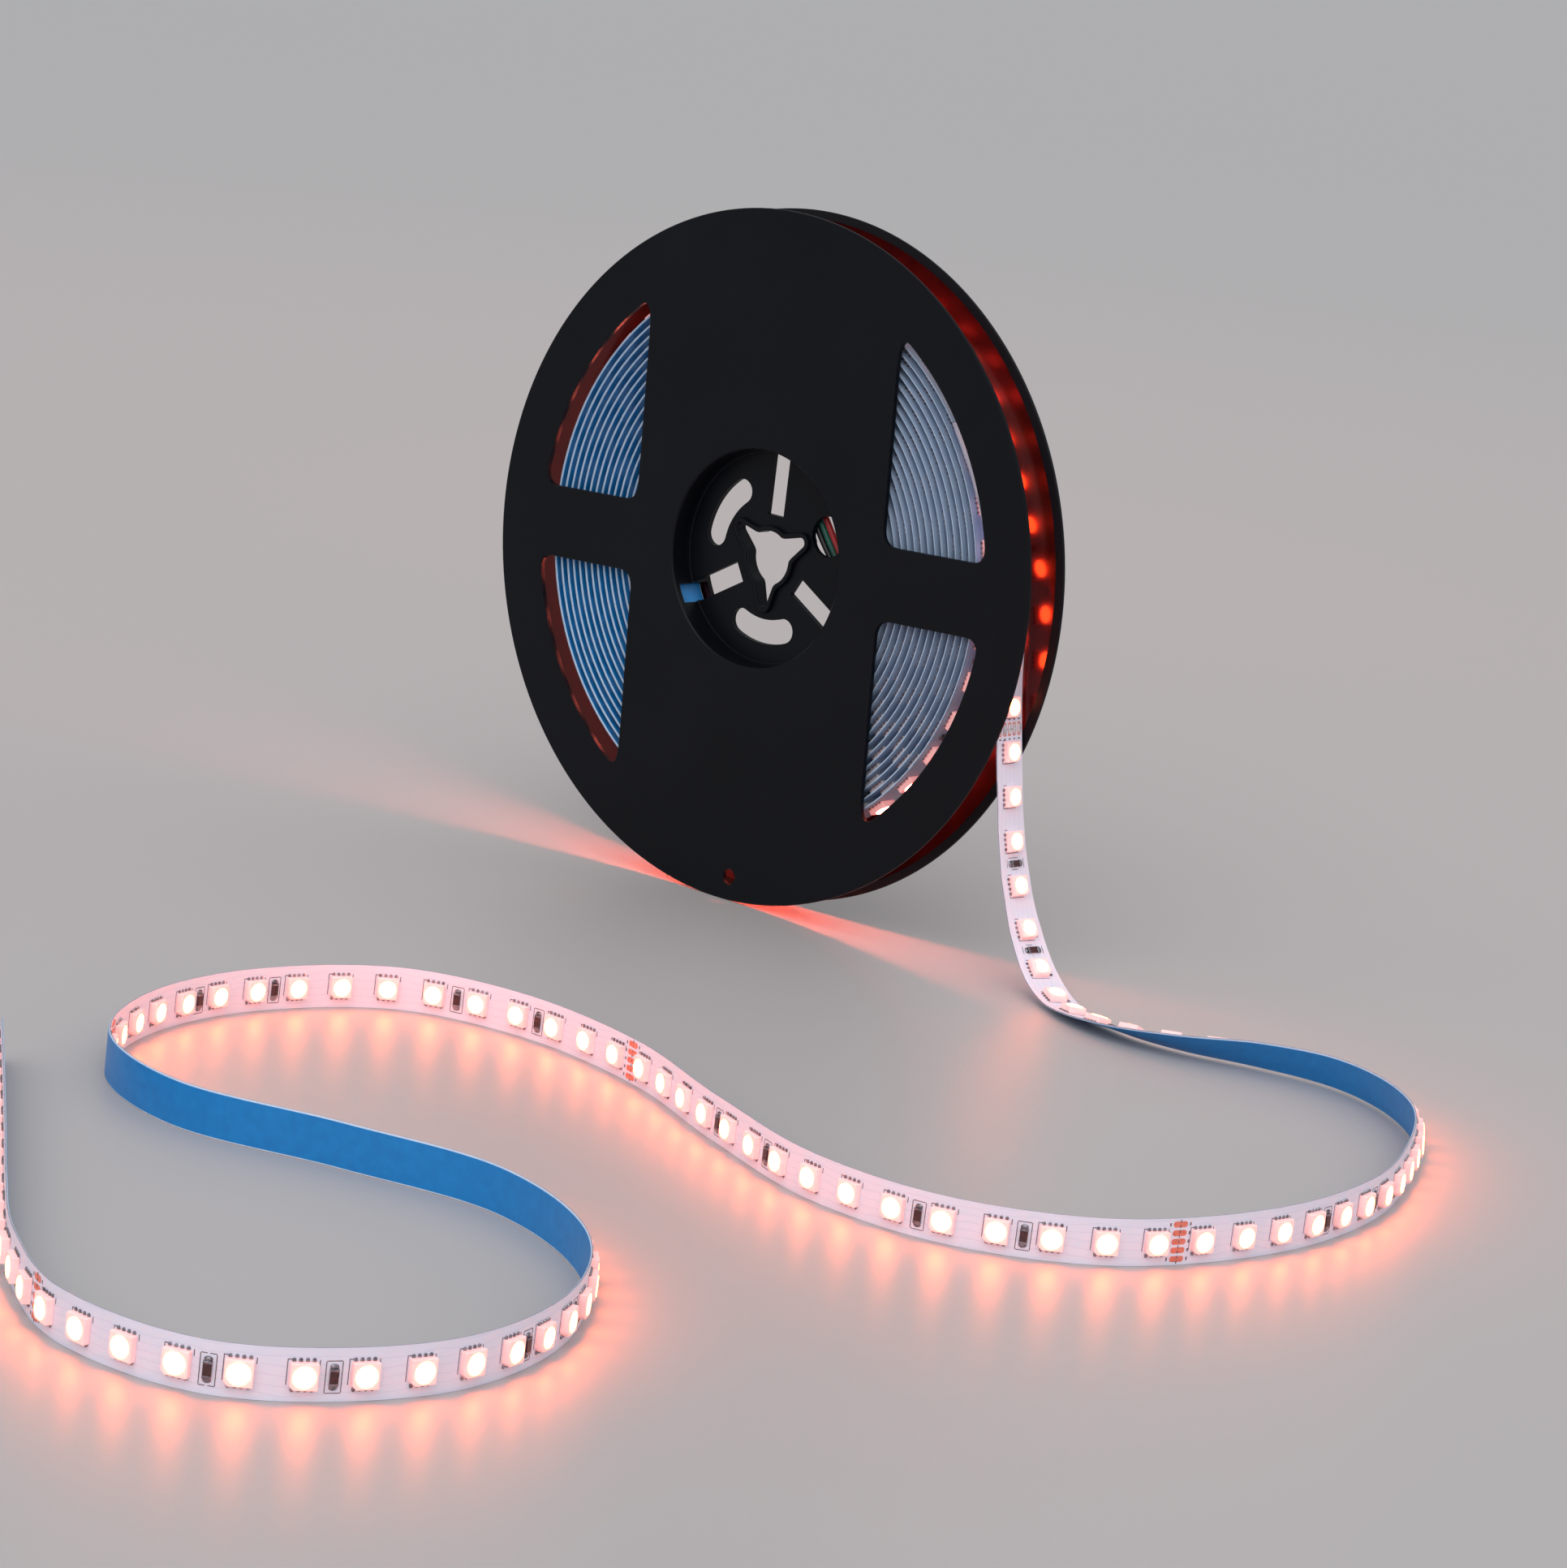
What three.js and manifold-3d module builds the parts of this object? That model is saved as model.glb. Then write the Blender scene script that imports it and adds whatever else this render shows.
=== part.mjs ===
// A reel of LED strip light: two moulded halves hold a wound tape of LEDs, its inner end is
// soldered to five leads in the hub, and its outer end hangs off the reel and lies along the floor
// in loose curves. Millimetres, +Z up. The origin is on the floor below the middle of the reel,
// whose axis runs along Y, with the front face towards -Y.
import * as THREE from "three";
import * as BufferGeometryUtils from "three/addons/utils/BufferGeometryUtils.js";
import Module from "manifold-3d";

const wasm = await Module();
wasm.setup();

// Reel halves
const reelRadius = 89;
const reelWidth = 14.4;
const plateThickness = 1.5;
const rimChamferWidth = 2;
const rimChamferDepth = 0.6;
const reelFacets = 64;
const drumRadius = 41;
const drumWall = 1.5;
const wellRadius = 28;
const wellWall = 1.5;
const webThickness = 0.8;

// Windows in the flanges, which stand a little turned from level
const windowTurn = 3;
const windowOuterRadius = 75;
const windowInnerX = 41.5;
const spokeHalfWidth = 9.3;
const windowCorner = 4.5;

// Openings in the web of the hub
const boreRadius = 7;
const boreSides = 20;
const keywayAngles = [30, 150, 270];
const keywayRootWidth = 7.5;
const keywayTipWidth = 2.6;
const keywayReach = 11.8;
const boreRimWidth = 1.3;
const boreRimHeight = 1.2;
const kidneyAngles = [150, 270];
const kidneyInnerRadius = 16;
const kidneyOuterRadius = 22.3;
const kidneyHalfAngle = 22;
const radialSlotAngles = [90, 210, 330];
const radialSlotWidth = 5.4;
const radialSlotInner = 11;
const radialSlotOuter = 27;
const leadHoleRadius = 5.2;
const leadHoleDistance = 20.2;
const leadHoleAngle = 26.4;
const threadHoleRadius = 2;
const threadHoleDistance = 82.8;
const threadHoleAngle = -87;
const smallHoleSides = 16;

// Pegs that join the halves
const pegAngles = [0, 60, 120];
const pegRadius = 1.8;
const pegLength = 3.6;
const pegBossRadius = 3.4;
const pegClearance = 0.3;

// Slots that let the tape and the leads into the hub
const drumSlotAngles = [122, 162];
const wellNotchAngle = 210;
const leadNotchAngles = [314, 358];
const slotEdgeClearance = 0.5;

// Tape
const tapeWidth = 10;
const tapeThickness = 0.4;
const linerThickness = 0.2;
const layerGap = 0.3;
const ledPitch = 100 / 9;
const ledSize = 5;
const ledHeight = 1.6;
const ledsPerCut = 15;
const resistorPlaces = [2.5, 4.5, 8.5, 10.5];
const resistorWidth = 1.9;
const resistorLength = 4.6;
const resistorHeight = 0.5;
const resistorOffset = 0.4;

// Roll of tape on the drum
const rollOuterRadius = 72.5;
const rollOuterAngle = 39;
const rollInnerAngle = 130;
const rollFullTurns = 14;
const rollInside = -0.5;
const rollEnvelope = 0.9;
const rollStepsUnderTail = 3;

// Inner end of the tape, between the drum and the well
const hubClearance = 0.4;
const innerEndSettled = 195;
const innerEndAngle = 234;
const innerEndSteps = 22;

// Leads in the hub
const leadDiameter = 1.5;
const leadSides = 6;
const leadSteps = 26;
const leadPadPitch = 1.85;
const leadStartAngle = 233;
const leadEndAngle = 432;
const leadTurnAngle = 14;
const leadRowDepth = 2;
const leadSpacing = 1.9;
const leads = [
  { name: "lead_black", pad: -2, side: -1, row: 0, turnStart: 276, colour: 0x101012 },
  { name: "lead_green", pad: -1, side: 0, row: 0, turnStart: 266, colour: 0x0b5a46 },
  { name: "lead_red", pad: 0, side: 1, row: 0, turnStart: 256, colour: 0xa01218 },
  { name: "lead_white", pad: 1, side: -0.85, row: 1, turnStart: 247, colour: 0xd8d8d4 },
  { name: "lead_blue", pad: 2, side: 0.15, row: 1, turnStart: 238, colour: 0x1c4fa0 },
];

// How far the leads have dropped from the hollow of the drum into the hub at each angle
const leadDrops = [
  [300, 0],
  [310, 0.01],
  [318, 0.05],
  [333, 0.22],
  [346, 0.46],
  [360, 0.73],
  [375, 0.93],
  [390, 1],
  [405, 1],
  [leadEndAngle, 0.85],
];

// The loose tape: places of its centre line, with the tilt of its width in degrees.
// Tilt 0 is flat with the LEDs up or outward, and tilt 90 is standing on its edge.
const tailRoute = [
  [56.53, 0, 134.29, 0],
  [64.3, 0, 122.6, 0],
  [70.9, 0, 109.7, 0],
  [76.2, 0, 98, 0],
  [79.4, 0, 86, 0],
  [80.6, 0, 74, 0],
  [82.4, 0, 62, 0],
  [84.6, 0, 50, 0],
  [87, 0, 38, 0],
  [90.6, -0.2, 26, 0],
  [96.2, -1, 14.5, 0],
  [104.5, -3.5, 5.4, 0],
  [115, -8.4, 1.6, 3],
  [127, -14.6, 1.9, 10],
  [141, -17.6, 2.7, 21],
  [156.5, -15.4, 3.6, 34],
  [174, -8.2, 4.5, 50],
  [192, -4.4, 4.85, 60],
  [210, -9.6, 5, 68],
  [229, -24.5, 5.05, 78],
  [245.5, -51, 5.05, 86],
  [258.5, -84, 5.05, 90],
  [261, -125, 5.05, 90],
  [248, -164, 5.05, 90],
  [222, -184, 5.05, 90],
  [189, -187.3, 5.05, 90],
  [149.6, -174.4, 5.05, 90],
  [110.3, -158.2, 5.05, 90],
  [71, -154.3, 5.05, 90],
  [43.6, -165, 5.05, 90],
  [30.3, -196, 5.05, 90],
  [34, -232, 5.05, 90],
  [55, -263, 5.05, 90],
  [88, -273.6, 5.05, 90],
  [126, -262.5, 5.05, 90],
  [163, -254.6, 5.05, 90],
  [200, -269, 5.05, 90],
  [226, -303, 5.05, 90],
  [231.5, -341, 5.05, 90],
  [212, -375.5, 5.05, 90],
  [178, -381.6, 5.05, 90],
  [147, -367.2, 5.05, 90],
  [122, -348, 5.05, 90],
  [98, -328, 5.05, 90],
  [71, -305.6, 5.05, 90],
  [34.5, -275.5, 5.05, 90],
];
const tailCuts = 7;
const ledsBeforeFirstCut = 7;

// Worked out from the sizes above
const degree = Math.PI / 180;
const reelCentre = reelRadius * Math.cos(Math.PI / reelFacets);
const halfWidth = reelWidth / 2;
const plateInner = halfWidth - plateThickness;
const boreRimTop = webThickness + boreRimHeight;
const beyond = 1;
const drumInside = drumRadius - drumWall;
const wellOutside = wellRadius + wellWall;
const hollowRadius = (drumInside + wellOutside) / 2;
const tapeFace = tapeThickness / 2;
const linerMiddle = -(tapeFace + layerGap + linerThickness / 2);
const linerInside = linerMiddle - linerThickness / 2;
const rollInnerRadius = drumRadius + layerGap - linerInside;
const rollTurns = rollFullTurns + (rollInnerAngle - rollOuterAngle) / 360;
const turnPitch = (rollOuterRadius - rollInnerRadius) / rollTurns;
const innerEndRadius = wellOutside + hubClearance - linerInside;
const leadPadRadius = innerEndRadius + tapeFace + hubClearance + leadDiameter / 2;
const leadHubRadius = leadHoleDistance - leadHoleRadius / 2;
const tailLeds = ledsBeforeFirstCut + tailCuts * ledsPerCut;

const colours = {
  plastic: { color: 0x1b1c1f, roughness: 0.42 },
  tape: { color: 0xe6e2ea, roughness: 0.5 },
  liner: { color: 0x0a76b8, roughness: 0.45 },
};

const reel = new THREE.Group();

function addMesh(name, geometry, look) {
  const mesh = new THREE.Mesh(geometry, new THREE.MeshStandardMaterial({ metalness: 0, ...look }));
  mesh.name = name;
  reel.add(mesh);
  return mesh;
}

// Booleans
function toSolid(geometry) {
  const bare = geometry.clone();
  bare.deleteAttribute("normal");
  bare.deleteAttribute("uv");
  const merged = BufferGeometryUtils.mergeVertices(bare, 1e-4);
  const mesh = new wasm.Mesh({
    numProp: 3,
    vertProperties: merged.attributes.position.array,
    triVerts: new Uint32Array(merged.index.array),
  });
  return new wasm.Manifold(mesh);
}

function toGeometry(solid) {
  const mesh = solid.getMesh();
  const geometry = new THREE.BufferGeometry();
  geometry.setAttribute("position", new THREE.BufferAttribute(mesh.vertProperties, 3));
  geometry.setIndex(new THREE.BufferAttribute(mesh.triVerts, 1));
  return geometry;
}

function joined(solids) {
  return solids.reduce((sum, solid) => sum.add(solid));
}

// A flat outline, drawn as seen from the front, made solid between two depths along Y
function slab(shape, near, far, curveSegments = 12) {
  const geometry = new THREE.ExtrudeGeometry(shape, {
    depth: far - near,
    bevelEnabled: false,
    curveSegments,
  });
  geometry.rotateX(Math.PI / 2);
  geometry.translate(0, far, 0);
  return toSolid(geometry);
}

// A round bar along Y between two depths
function bar(radius, near, far, sides, x = 0, z = 0) {
  const geometry = new THREE.CylinderGeometry(radius, radius, far - near, sides);
  geometry.rotateY(Math.PI / sides);
  geometry.translate(x, (near + far) / 2, z);
  return toSolid(geometry);
}

function onCircle(radius, angle) {
  return [radius * Math.cos(angle * degree), radius * Math.sin(angle * degree)];
}

// Window outline in the right upper quarter, with rounded corners
function windowShape() {
  const arcLow = Math.asin(spokeHalfWidth / windowOuterRadius);
  const arcHigh = Math.acos(windowInnerX / windowOuterRadius);
  const arcTrim = windowCorner / windowOuterRadius;
  const lowX = windowOuterRadius * Math.cos(arcLow);
  const highZ = windowOuterRadius * Math.sin(arcHigh);
  const shape = new THREE.Shape();
  shape.moveTo(windowInnerX + windowCorner, spokeHalfWidth);
  shape.lineTo(lowX - windowCorner, spokeHalfWidth);
  const start = [
    windowOuterRadius * Math.cos(arcLow + arcTrim),
    windowOuterRadius * Math.sin(arcLow + arcTrim),
  ];
  shape.quadraticCurveTo(lowX, spokeHalfWidth, start[0], start[1]);
  shape.absarc(0, 0, windowOuterRadius, arcLow + arcTrim, arcHigh - arcTrim, false);
  shape.quadraticCurveTo(windowInnerX, highZ, windowInnerX, highZ - 2 * windowCorner);
  shape.lineTo(windowInnerX, spokeHalfWidth + windowCorner);
  shape.quadraticCurveTo(
    windowInnerX, spokeHalfWidth, windowInnerX + windowCorner, spokeHalfWidth,
  );
  return shape;
}

// Sector of a ring between two radii and two angles
function sectorShape(inner, outer, from, to) {
  const shape = new THREE.Shape();
  shape.absarc(0, 0, outer, from * degree, to * degree, false);
  shape.absarc(0, 0, inner, to * degree, from * degree, true);
  return shape;
}

// Arc-shaped slot with round ends
function kidney(angle, near, far) {
  const middleRadius = (kidneyInnerRadius + kidneyOuterRadius) / 2;
  const endRadius = (kidneyOuterRadius - kidneyInnerRadius) / 2;
  const from = angle - kidneyHalfAngle;
  const to = angle + kidneyHalfAngle;
  const band = slab(sectorShape(kidneyInnerRadius, kidneyOuterRadius, from, to), near, far, 6);
  const ends = [from, to].map((end) => {
    return bar(endRadius, near, far, smallHoleSides, ...onCircle(middleRadius, end));
  });
  return joined([band, ...ends]);
}

// Straight slot along a radius
function radialSlot(angle, inner, outer, width, near, far) {
  const geometry = new THREE.BoxGeometry(outer - inner, far - near, width);
  geometry.translate((outer + inner) / 2, (near + far) / 2, 0);
  geometry.rotateY(-angle * degree);
  return toSolid(geometry);
}

// Round bore with three keyways that narrow outward, grown on every side
function keyedBar(growth, near, far) {
  const root = boreRadius / 2;
  const rootHalf = keywayRootWidth / 2 + growth;
  const tipHalf = keywayTipWidth / 2 + growth;
  const taper = new THREE.Shape([
    new THREE.Vector2(root, -rootHalf),
    new THREE.Vector2(keywayReach, -tipHalf),
    new THREE.Vector2(keywayReach, tipHalf),
    new THREE.Vector2(root, rootHalf),
  ]);
  const parts = [bar(boreRadius + growth, near, far, boreSides)];
  for (const angle of keywayAngles) {
    parts.push(slab(taper, near, far).rotate([0, -angle, 0]));
    parts.push(bar(tipHalf, near, far, smallHoleSides, ...onCircle(keywayReach, angle)));
  }
  return joined(parts);
}

// Ring about the axis, turned from a profile of radius and depth
function turned(profile) {
  const points = profile.map(([radius, depth]) => new THREE.Vector2(radius, depth));
  points.push(points[0].clone());
  const geometry = new THREE.LatheGeometry(points, reelFacets);
  geometry.rotateY(Math.PI / reelFacets);
  return toSolid(geometry);
}

// Front half of the reel about its own axis. Its joint face is at depth 0.
function halfReel() {
  const flange = turned([
    [wellRadius, -halfWidth],
    [reelRadius, -halfWidth],
    [reelRadius, -plateInner - rimChamferDepth],
    [reelRadius - rimChamferWidth, -plateInner],
    [drumRadius, -plateInner],
    [drumRadius, 0],
    [drumInside, 0],
    [drumInside, -plateInner],
    [wellOutside, -plateInner],
    [wellOutside, 0],
    [wellRadius, 0],
  ]);
  const web = bar(wellRadius + wellWall / 2, -webThickness, 0, reelFacets);
  const boreRim = keyedBar(boreRimWidth, -boreRimTop, 0);

  const front = -halfWidth - beyond;
  const cuts = [keyedBar(0, front, beyond)];
  for (const angle of kidneyAngles) {
    cuts.push(kidney(angle, front, beyond));
  }
  for (const angle of radialSlotAngles) {
    cuts.push(radialSlot(angle, radialSlotInner, radialSlotOuter, radialSlotWidth, front, beyond));
  }
  cuts.push(bar(
    leadHoleRadius, front, beyond, boreSides, ...onCircle(leadHoleDistance, leadHoleAngle),
  ));
  const quarter = slab(windowShape(), front, -plateInner + beyond, 8);
  const upper = quarter.add(quarter.mirror([1, 0, 0]));
  const windows = upper.add(upper.mirror([0, 0, 1])).rotate([0, -windowTurn, 0]);
  return joined([flange, web, boreRim]).subtract(joined([...cuts, windows]));
}

function placed(solid) {
  return toGeometry(solid.translate([0, 0, reelCentre]));
}

// Slot through a round wall for the tape or the leads
function wallSlot(radius, wall, angles, near, far) {
  const inner = radius - wall - beyond / 2;
  const outer = radius + beyond / 2;
  return slab(sectorShape(inner, outer, angles[0], angles[1]), near, far, 10);
}

const tapeSlotReach = tapeWidth / 2 + slotEdgeClearance;
const tapeSlots = joined([
  wallSlot(drumRadius, drumWall, drumSlotAngles, -tapeSlotReach, tapeSlotReach),
  radialSlot(
    wellNotchAngle, radialSlotInner, wellOutside + beyond / 2, radialSlotWidth,
    -tapeSlotReach, tapeSlotReach,
  ),
]);

// Round bars on the circle of the pegs
function pegBars(radius, near, far) {
  return joined(pegAngles.map((angle) => {
    return bar(radius, near, far, smallHoleSides, ...onCircle(hollowRadius, angle));
  }));
}

const pegSockets = pegBars(pegRadius + pegClearance, -pegLength - pegClearance, beyond);
const pegBosses = pegBars(pegBossRadius, -plateInner, 0);
const pegs = pegBars(pegRadius, -pegLength, beyond / 2);
const threadHole = bar(
  threadHoleRadius, -halfWidth - beyond, -plateInner + beyond, smallHoleSides,
  ...onCircle(threadHoleDistance, threadHoleAngle),
);
const leadNotch = wallSlot(
  wellOutside, wellWall, leadNotchAngles, webThickness, plateInner - slotEdgeClearance,
);

const plainHalf = halfReel();
const frontHalf = plainHalf.add(pegBosses).subtract(pegSockets).subtract(tapeSlots);
addMesh("front_half", placed(frontHalf.subtract(threadHole)), colours.plastic);

const rearShell = plainHalf.add(pegBosses).mirror([0, 1, 0]);
const rearHalf = rearShell.add(pegs).subtract(tapeSlots).subtract(leadNotch);
addMesh("rear_half", placed(rearHalf), colours.plastic);

// Tape frames. A frame has a place on the centre line and the directions along the tape,
// across its width, and outward from its LED side.
function tapeFrames(points, acrossAt) {
  return points.map((point, i) => {
    const before = points[Math.max(i - 1, 0)];
    const after = points[Math.min(i + 1, points.length - 1)];
    const along = after.clone().sub(before).normalize();
    const across = acrossAt(i, along);
    across.addScaledVector(along, -across.dot(along)).normalize();
    return { point, along, across, outward: along.clone().cross(across) };
  });
}

// A flat band bent along the frames, from one outward height to another. Both of its faces are
// split into triangles along the same diagonal, so that bands at different heights stay apart.
function ribbon(frames, low, high, width = tapeWidth) {
  const heightAt = (height, step) => (typeof height === "function" ? height(step) : height);
  const places = [];
  frames.forEach((frame, step) => {
    for (const height of [heightAt(low, step), heightAt(high, step)]) {
      for (const side of [-width / 2, width / 2]) {
        const corner = frame.point.clone().addScaledVector(frame.across, side);
        places.push(...corner.addScaledVector(frame.outward, height).toArray());
      }
    }
  });
  const last = 4 * (frames.length - 1);
  const triangles = [0, 3, 1, 0, 2, 3, last, last + 1, last + 3, last, last + 3, last + 2];
  for (let ring = 0; ring < last; ring += 4) {
    for (const [from, to] of [[0, 1], [1, 3], [2, 0]]) {
      triangles.push(ring + from, ring + to, ring + to + 4);
      triangles.push(ring + from, ring + to + 4, ring + from + 4);
    }
    triangles.push(ring + 3, ring + 2, ring + 7, ring + 2, ring + 6, ring + 7);
  }
  const geometry = new THREE.BufferGeometry();
  geometry.setAttribute("position", new THREE.Float32BufferAttribute(places, 3));
  geometry.setIndex(triangles);
  return geometry;
}

// Small boxes that stand on the LED side of the tape, each at its own place in steps along it
function boxesOnTape(frames, places, size, shift = 0) {
  return places.map((step) => {
    const before = frames[Math.floor(step)];
    const after = frames[Math.min(Math.floor(step) + 1, frames.length - 1)];
    const part = step - Math.floor(step);
    const along = part === 0
      ? before.along.clone()
      : after.point.clone().sub(before.point).normalize();
    const across = before.across.clone().lerp(after.across, part);
    across.addScaledVector(along, -across.dot(along)).normalize();
    const outward = along.clone().cross(across);
    const centre = before.point.clone().lerp(after.point, part);
    centre.addScaledVector(outward, (tapeFace + size[2]) / 2).addScaledVector(across, shift);
    const box = new THREE.BoxGeometry(size[0], size[1], tapeFace + size[2]);
    box.applyMatrix4(new THREE.Matrix4().makeBasis(along, across, outward).setPosition(centre));
    return toSolid(box);
  });
}

// The tape with its LEDs and resistors soldered on, as one solid
function tapeWithParts(frames, tape, { ledPlaces, resistors }) {
  return toGeometry(joined([
    toSolid(tape),
    ...boxesOnTape(frames, ledPlaces, [ledSize, ledSize, ledHeight]),
    ...boxesOnTape(
      frames, resistors, [resistorWidth, resistorLength, resistorHeight], resistorOffset,
    ),
  ]));
}

// Place on the reel's middle plane at a radius and an angle about the axis
function reelPoint(radius, angle, depth = 0) {
  const [x, z] = onCircle(radius, angle);
  return new THREE.Vector3(x, depth, reelCentre + z);
}

const reelAxis = () => new THREE.Vector3(0, 1, 0);

// The roll, from the outer end inward, one LED pitch at a step
function rollPoints() {
  const points = [];
  let angle = rollOuterAngle;
  const lastAngle = rollOuterAngle + rollTurns * 360;
  while (angle < lastAngle) {
    const radius = rollOuterRadius - turnPitch * (angle - rollOuterAngle) / 360;
    points.push(reelPoint(radius, angle));
    angle += ledPitch / radius / degree;
  }
  points.push(reelPoint(rollInnerRadius, lastAngle));
  return points;
}

// Which LEDs and resistors a stretch of tape holds, counted in steps from the roll's outer end
function placesBetween(first, last, offset = 0) {
  const ledPlaces = [];
  const resistors = [];
  for (let i = first; i < last; i += 1) {
    ledPlaces.push(offset + i + 0.5);
    const inCut = (i - ledsBeforeFirstCut + 100 * ledsPerCut) % ledsPerCut;
    if (resistorPlaces.includes(inCut + 0.5)) resistors.push(offset + i + 1);
  }
  return { ledPlaces, resistors };
}

const rollFrames = tapeFrames(rollPoints().reverse(), reelAxis);
const rollSteps = rollFrames.length - 1;
const outerTurnSteps = Math.floor(2 * Math.PI * (rollOuterRadius - turnPitch / 2) / ledPitch)
  - rollStepsUnderTail;
const bareFrom = rollSteps - outerTurnSteps;
const rollFace = (step) => (step > bareFrom ? tapeFace : tapeFace + rollEnvelope);
addMesh(
  "strip_roll",
  tapeWithParts(
    rollFrames,
    ribbon(rollFrames, rollInside, rollFace),
    placesBetween(1 - outerTurnSteps, 0, rollSteps),
  ),
  colours.tape,
);

// Inner end of the tape: it drops through the drum's slot and runs round the outside of the well
function innerEndPoints() {
  const points = [];
  const firstAngle = rollInnerAngle + layerGap / rollInnerRadius / degree;
  for (let i = 0; i <= innerEndSteps; i += 1) {
    const angle = THREE.MathUtils.lerp(firstAngle, innerEndAngle, i / innerEndSteps);
    const drop = THREE.MathUtils.smoothstep(angle, rollInnerAngle, innerEndSettled);
    points.push(reelPoint(THREE.MathUtils.lerp(rollInnerRadius, innerEndRadius, drop), angle));
  }
  return points.reverse();
}

const innerFrames = tapeFrames(innerEndPoints(), reelAxis);
addMesh("inner_end_strip", ribbon(innerFrames, -tapeFace, tapeFace), colours.tape);
addMesh(
  "inner_end_liner",
  ribbon(innerFrames, linerMiddle - linerThickness / 2, linerMiddle + linerThickness / 2),
  colours.liner,
);

// Leads: soldered in a row, they gather into two rows, go through the notch in the rear half
// and lie behind the web
function gatheredRadius(angle) {
  const next = leadDrops.findIndex(([dropAngle]) => dropAngle >= angle);
  if (next === 0) return hollowRadius;
  const [fromAngle, fromDrop] = leadDrops[next - 1];
  const [toAngle, toDrop] = leadDrops[next];
  const share = (angle - fromAngle) / (toAngle - fromAngle);
  const drop = THREE.MathUtils.lerp(fromDrop, toDrop, share);
  return THREE.MathUtils.lerp(hollowRadius, leadHubRadius, drop);
}

function leadCurve(lead) {
  const points = [];
  for (let i = 0; i <= leadSteps; i += 1) {
    const angle = THREE.MathUtils.lerp(leadStartAngle, leadEndAngle, i / leadSteps);
    const turnEnd = lead.turnStart + leadTurnAngle;
    const shift = THREE.MathUtils.smoothstep(angle, lead.turnStart, turnEnd);
    const rowDepth = leadRowDepth + lead.row * leadSpacing;
    const depth = THREE.MathUtils.lerp(lead.pad * leadPadPitch, rowDepth, shift);
    const gathered = gatheredRadius(angle) + lead.side * leadSpacing;
    points.push(reelPoint(THREE.MathUtils.lerp(leadPadRadius, gathered, shift), angle, depth));
  }
  return new THREE.CatmullRomCurve3(points);
}

for (const lead of leads) {
  const section = new THREE.Shape();
  section.absarc(0, 0, leadDiameter / 2, 0, 2 * Math.PI, false);
  const geometry = new THREE.ExtrudeGeometry(section, {
    steps: leadSteps,
    curveSegments: leadSides / 2,
    extrudePath: leadCurve(lead),
  });
  addMesh(lead.name, geometry, { color: lead.colour, roughness: 0.4 });
}

// The loose tape off the reel
const tailCurve = new THREE.CatmullRomCurve3(
  tailRoute.map(([x, y, z]) => new THREE.Vector3(x, y, z)), false, "centripetal",
);
tailCurve.arcLengthDivisions = 4000;
const tailLength = tailCurve.getLength();

// Tilt of the tape's width at a distance along it
const tailDistances = tailCurve.getLengths();
const routeDistances = tailRoute.map((place, i) => {
  return tailDistances[Math.round(i / (tailRoute.length - 1) * (tailDistances.length - 1))];
});

function tiltAt(distance) {
  const next = Math.max(1, routeDistances.findIndex((here) => here >= distance));
  const from = routeDistances[next - 1];
  const share = THREE.MathUtils.clamp((distance - from) / (routeDistances[next] - from), 0, 1);
  return THREE.MathUtils.lerp(tailRoute[next - 1][3], tailRoute[next][3], share) * degree;
}

const tailPoints = [];
for (let i = 0; i <= tailLeds; i += 1) {
  tailPoints.push(tailCurve.getPointAt(i * ledPitch / tailLength));
}

function tailAcross(i, along) {
  const flatAlong = new THREE.Vector3(Math.max(along.x, 0.05), along.y, 0).normalize();
  const sideways = new THREE.Vector3(-flatAlong.y, flatAlong.x, 0);
  const tilt = tiltAt(i * ledPitch);
  if (tilt > 1.5) return new THREE.Vector3(0, 0, -1);
  return sideways.multiplyScalar(Math.cos(tilt)).add(new THREE.Vector3(0, 0, -Math.sin(tilt)));
}

const tailFrames = tapeFrames(tailPoints, tailAcross);
addMesh(
  "tail_strip",
  tapeWithParts(
    tailFrames, ribbon(tailFrames, -tapeFace, tapeFace), placesBetween(0, tailLeds),
  ),
  colours.tape,
);
addMesh(
  "tail_liner",
  ribbon(tailFrames, linerMiddle - linerThickness / 2, linerMiddle + linerThickness / 2),
  colours.liner,
);

export default reel;
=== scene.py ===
# A reel of LED strip light: a black two-part reel, the tape wound on it with its LEDs outward,
# and the loose end that hangs off and lies lit on the floor. Shapes are drawn in millimetres.
import math
from bisect import bisect_right

import bmesh
import bpy
from mathutils import Matrix, Vector


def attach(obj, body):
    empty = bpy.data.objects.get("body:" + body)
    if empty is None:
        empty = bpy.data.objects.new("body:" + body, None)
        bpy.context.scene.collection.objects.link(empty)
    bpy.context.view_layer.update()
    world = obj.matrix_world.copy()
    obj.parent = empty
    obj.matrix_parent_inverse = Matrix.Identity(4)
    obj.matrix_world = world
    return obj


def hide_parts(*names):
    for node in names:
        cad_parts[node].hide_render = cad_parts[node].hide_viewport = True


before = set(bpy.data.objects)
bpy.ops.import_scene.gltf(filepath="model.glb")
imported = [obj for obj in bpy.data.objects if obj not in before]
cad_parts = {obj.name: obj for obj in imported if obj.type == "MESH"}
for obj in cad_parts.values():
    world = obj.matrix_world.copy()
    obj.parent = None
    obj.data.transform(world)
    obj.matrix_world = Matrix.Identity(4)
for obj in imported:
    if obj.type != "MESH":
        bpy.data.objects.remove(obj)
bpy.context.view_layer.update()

MM = 0.001

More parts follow.
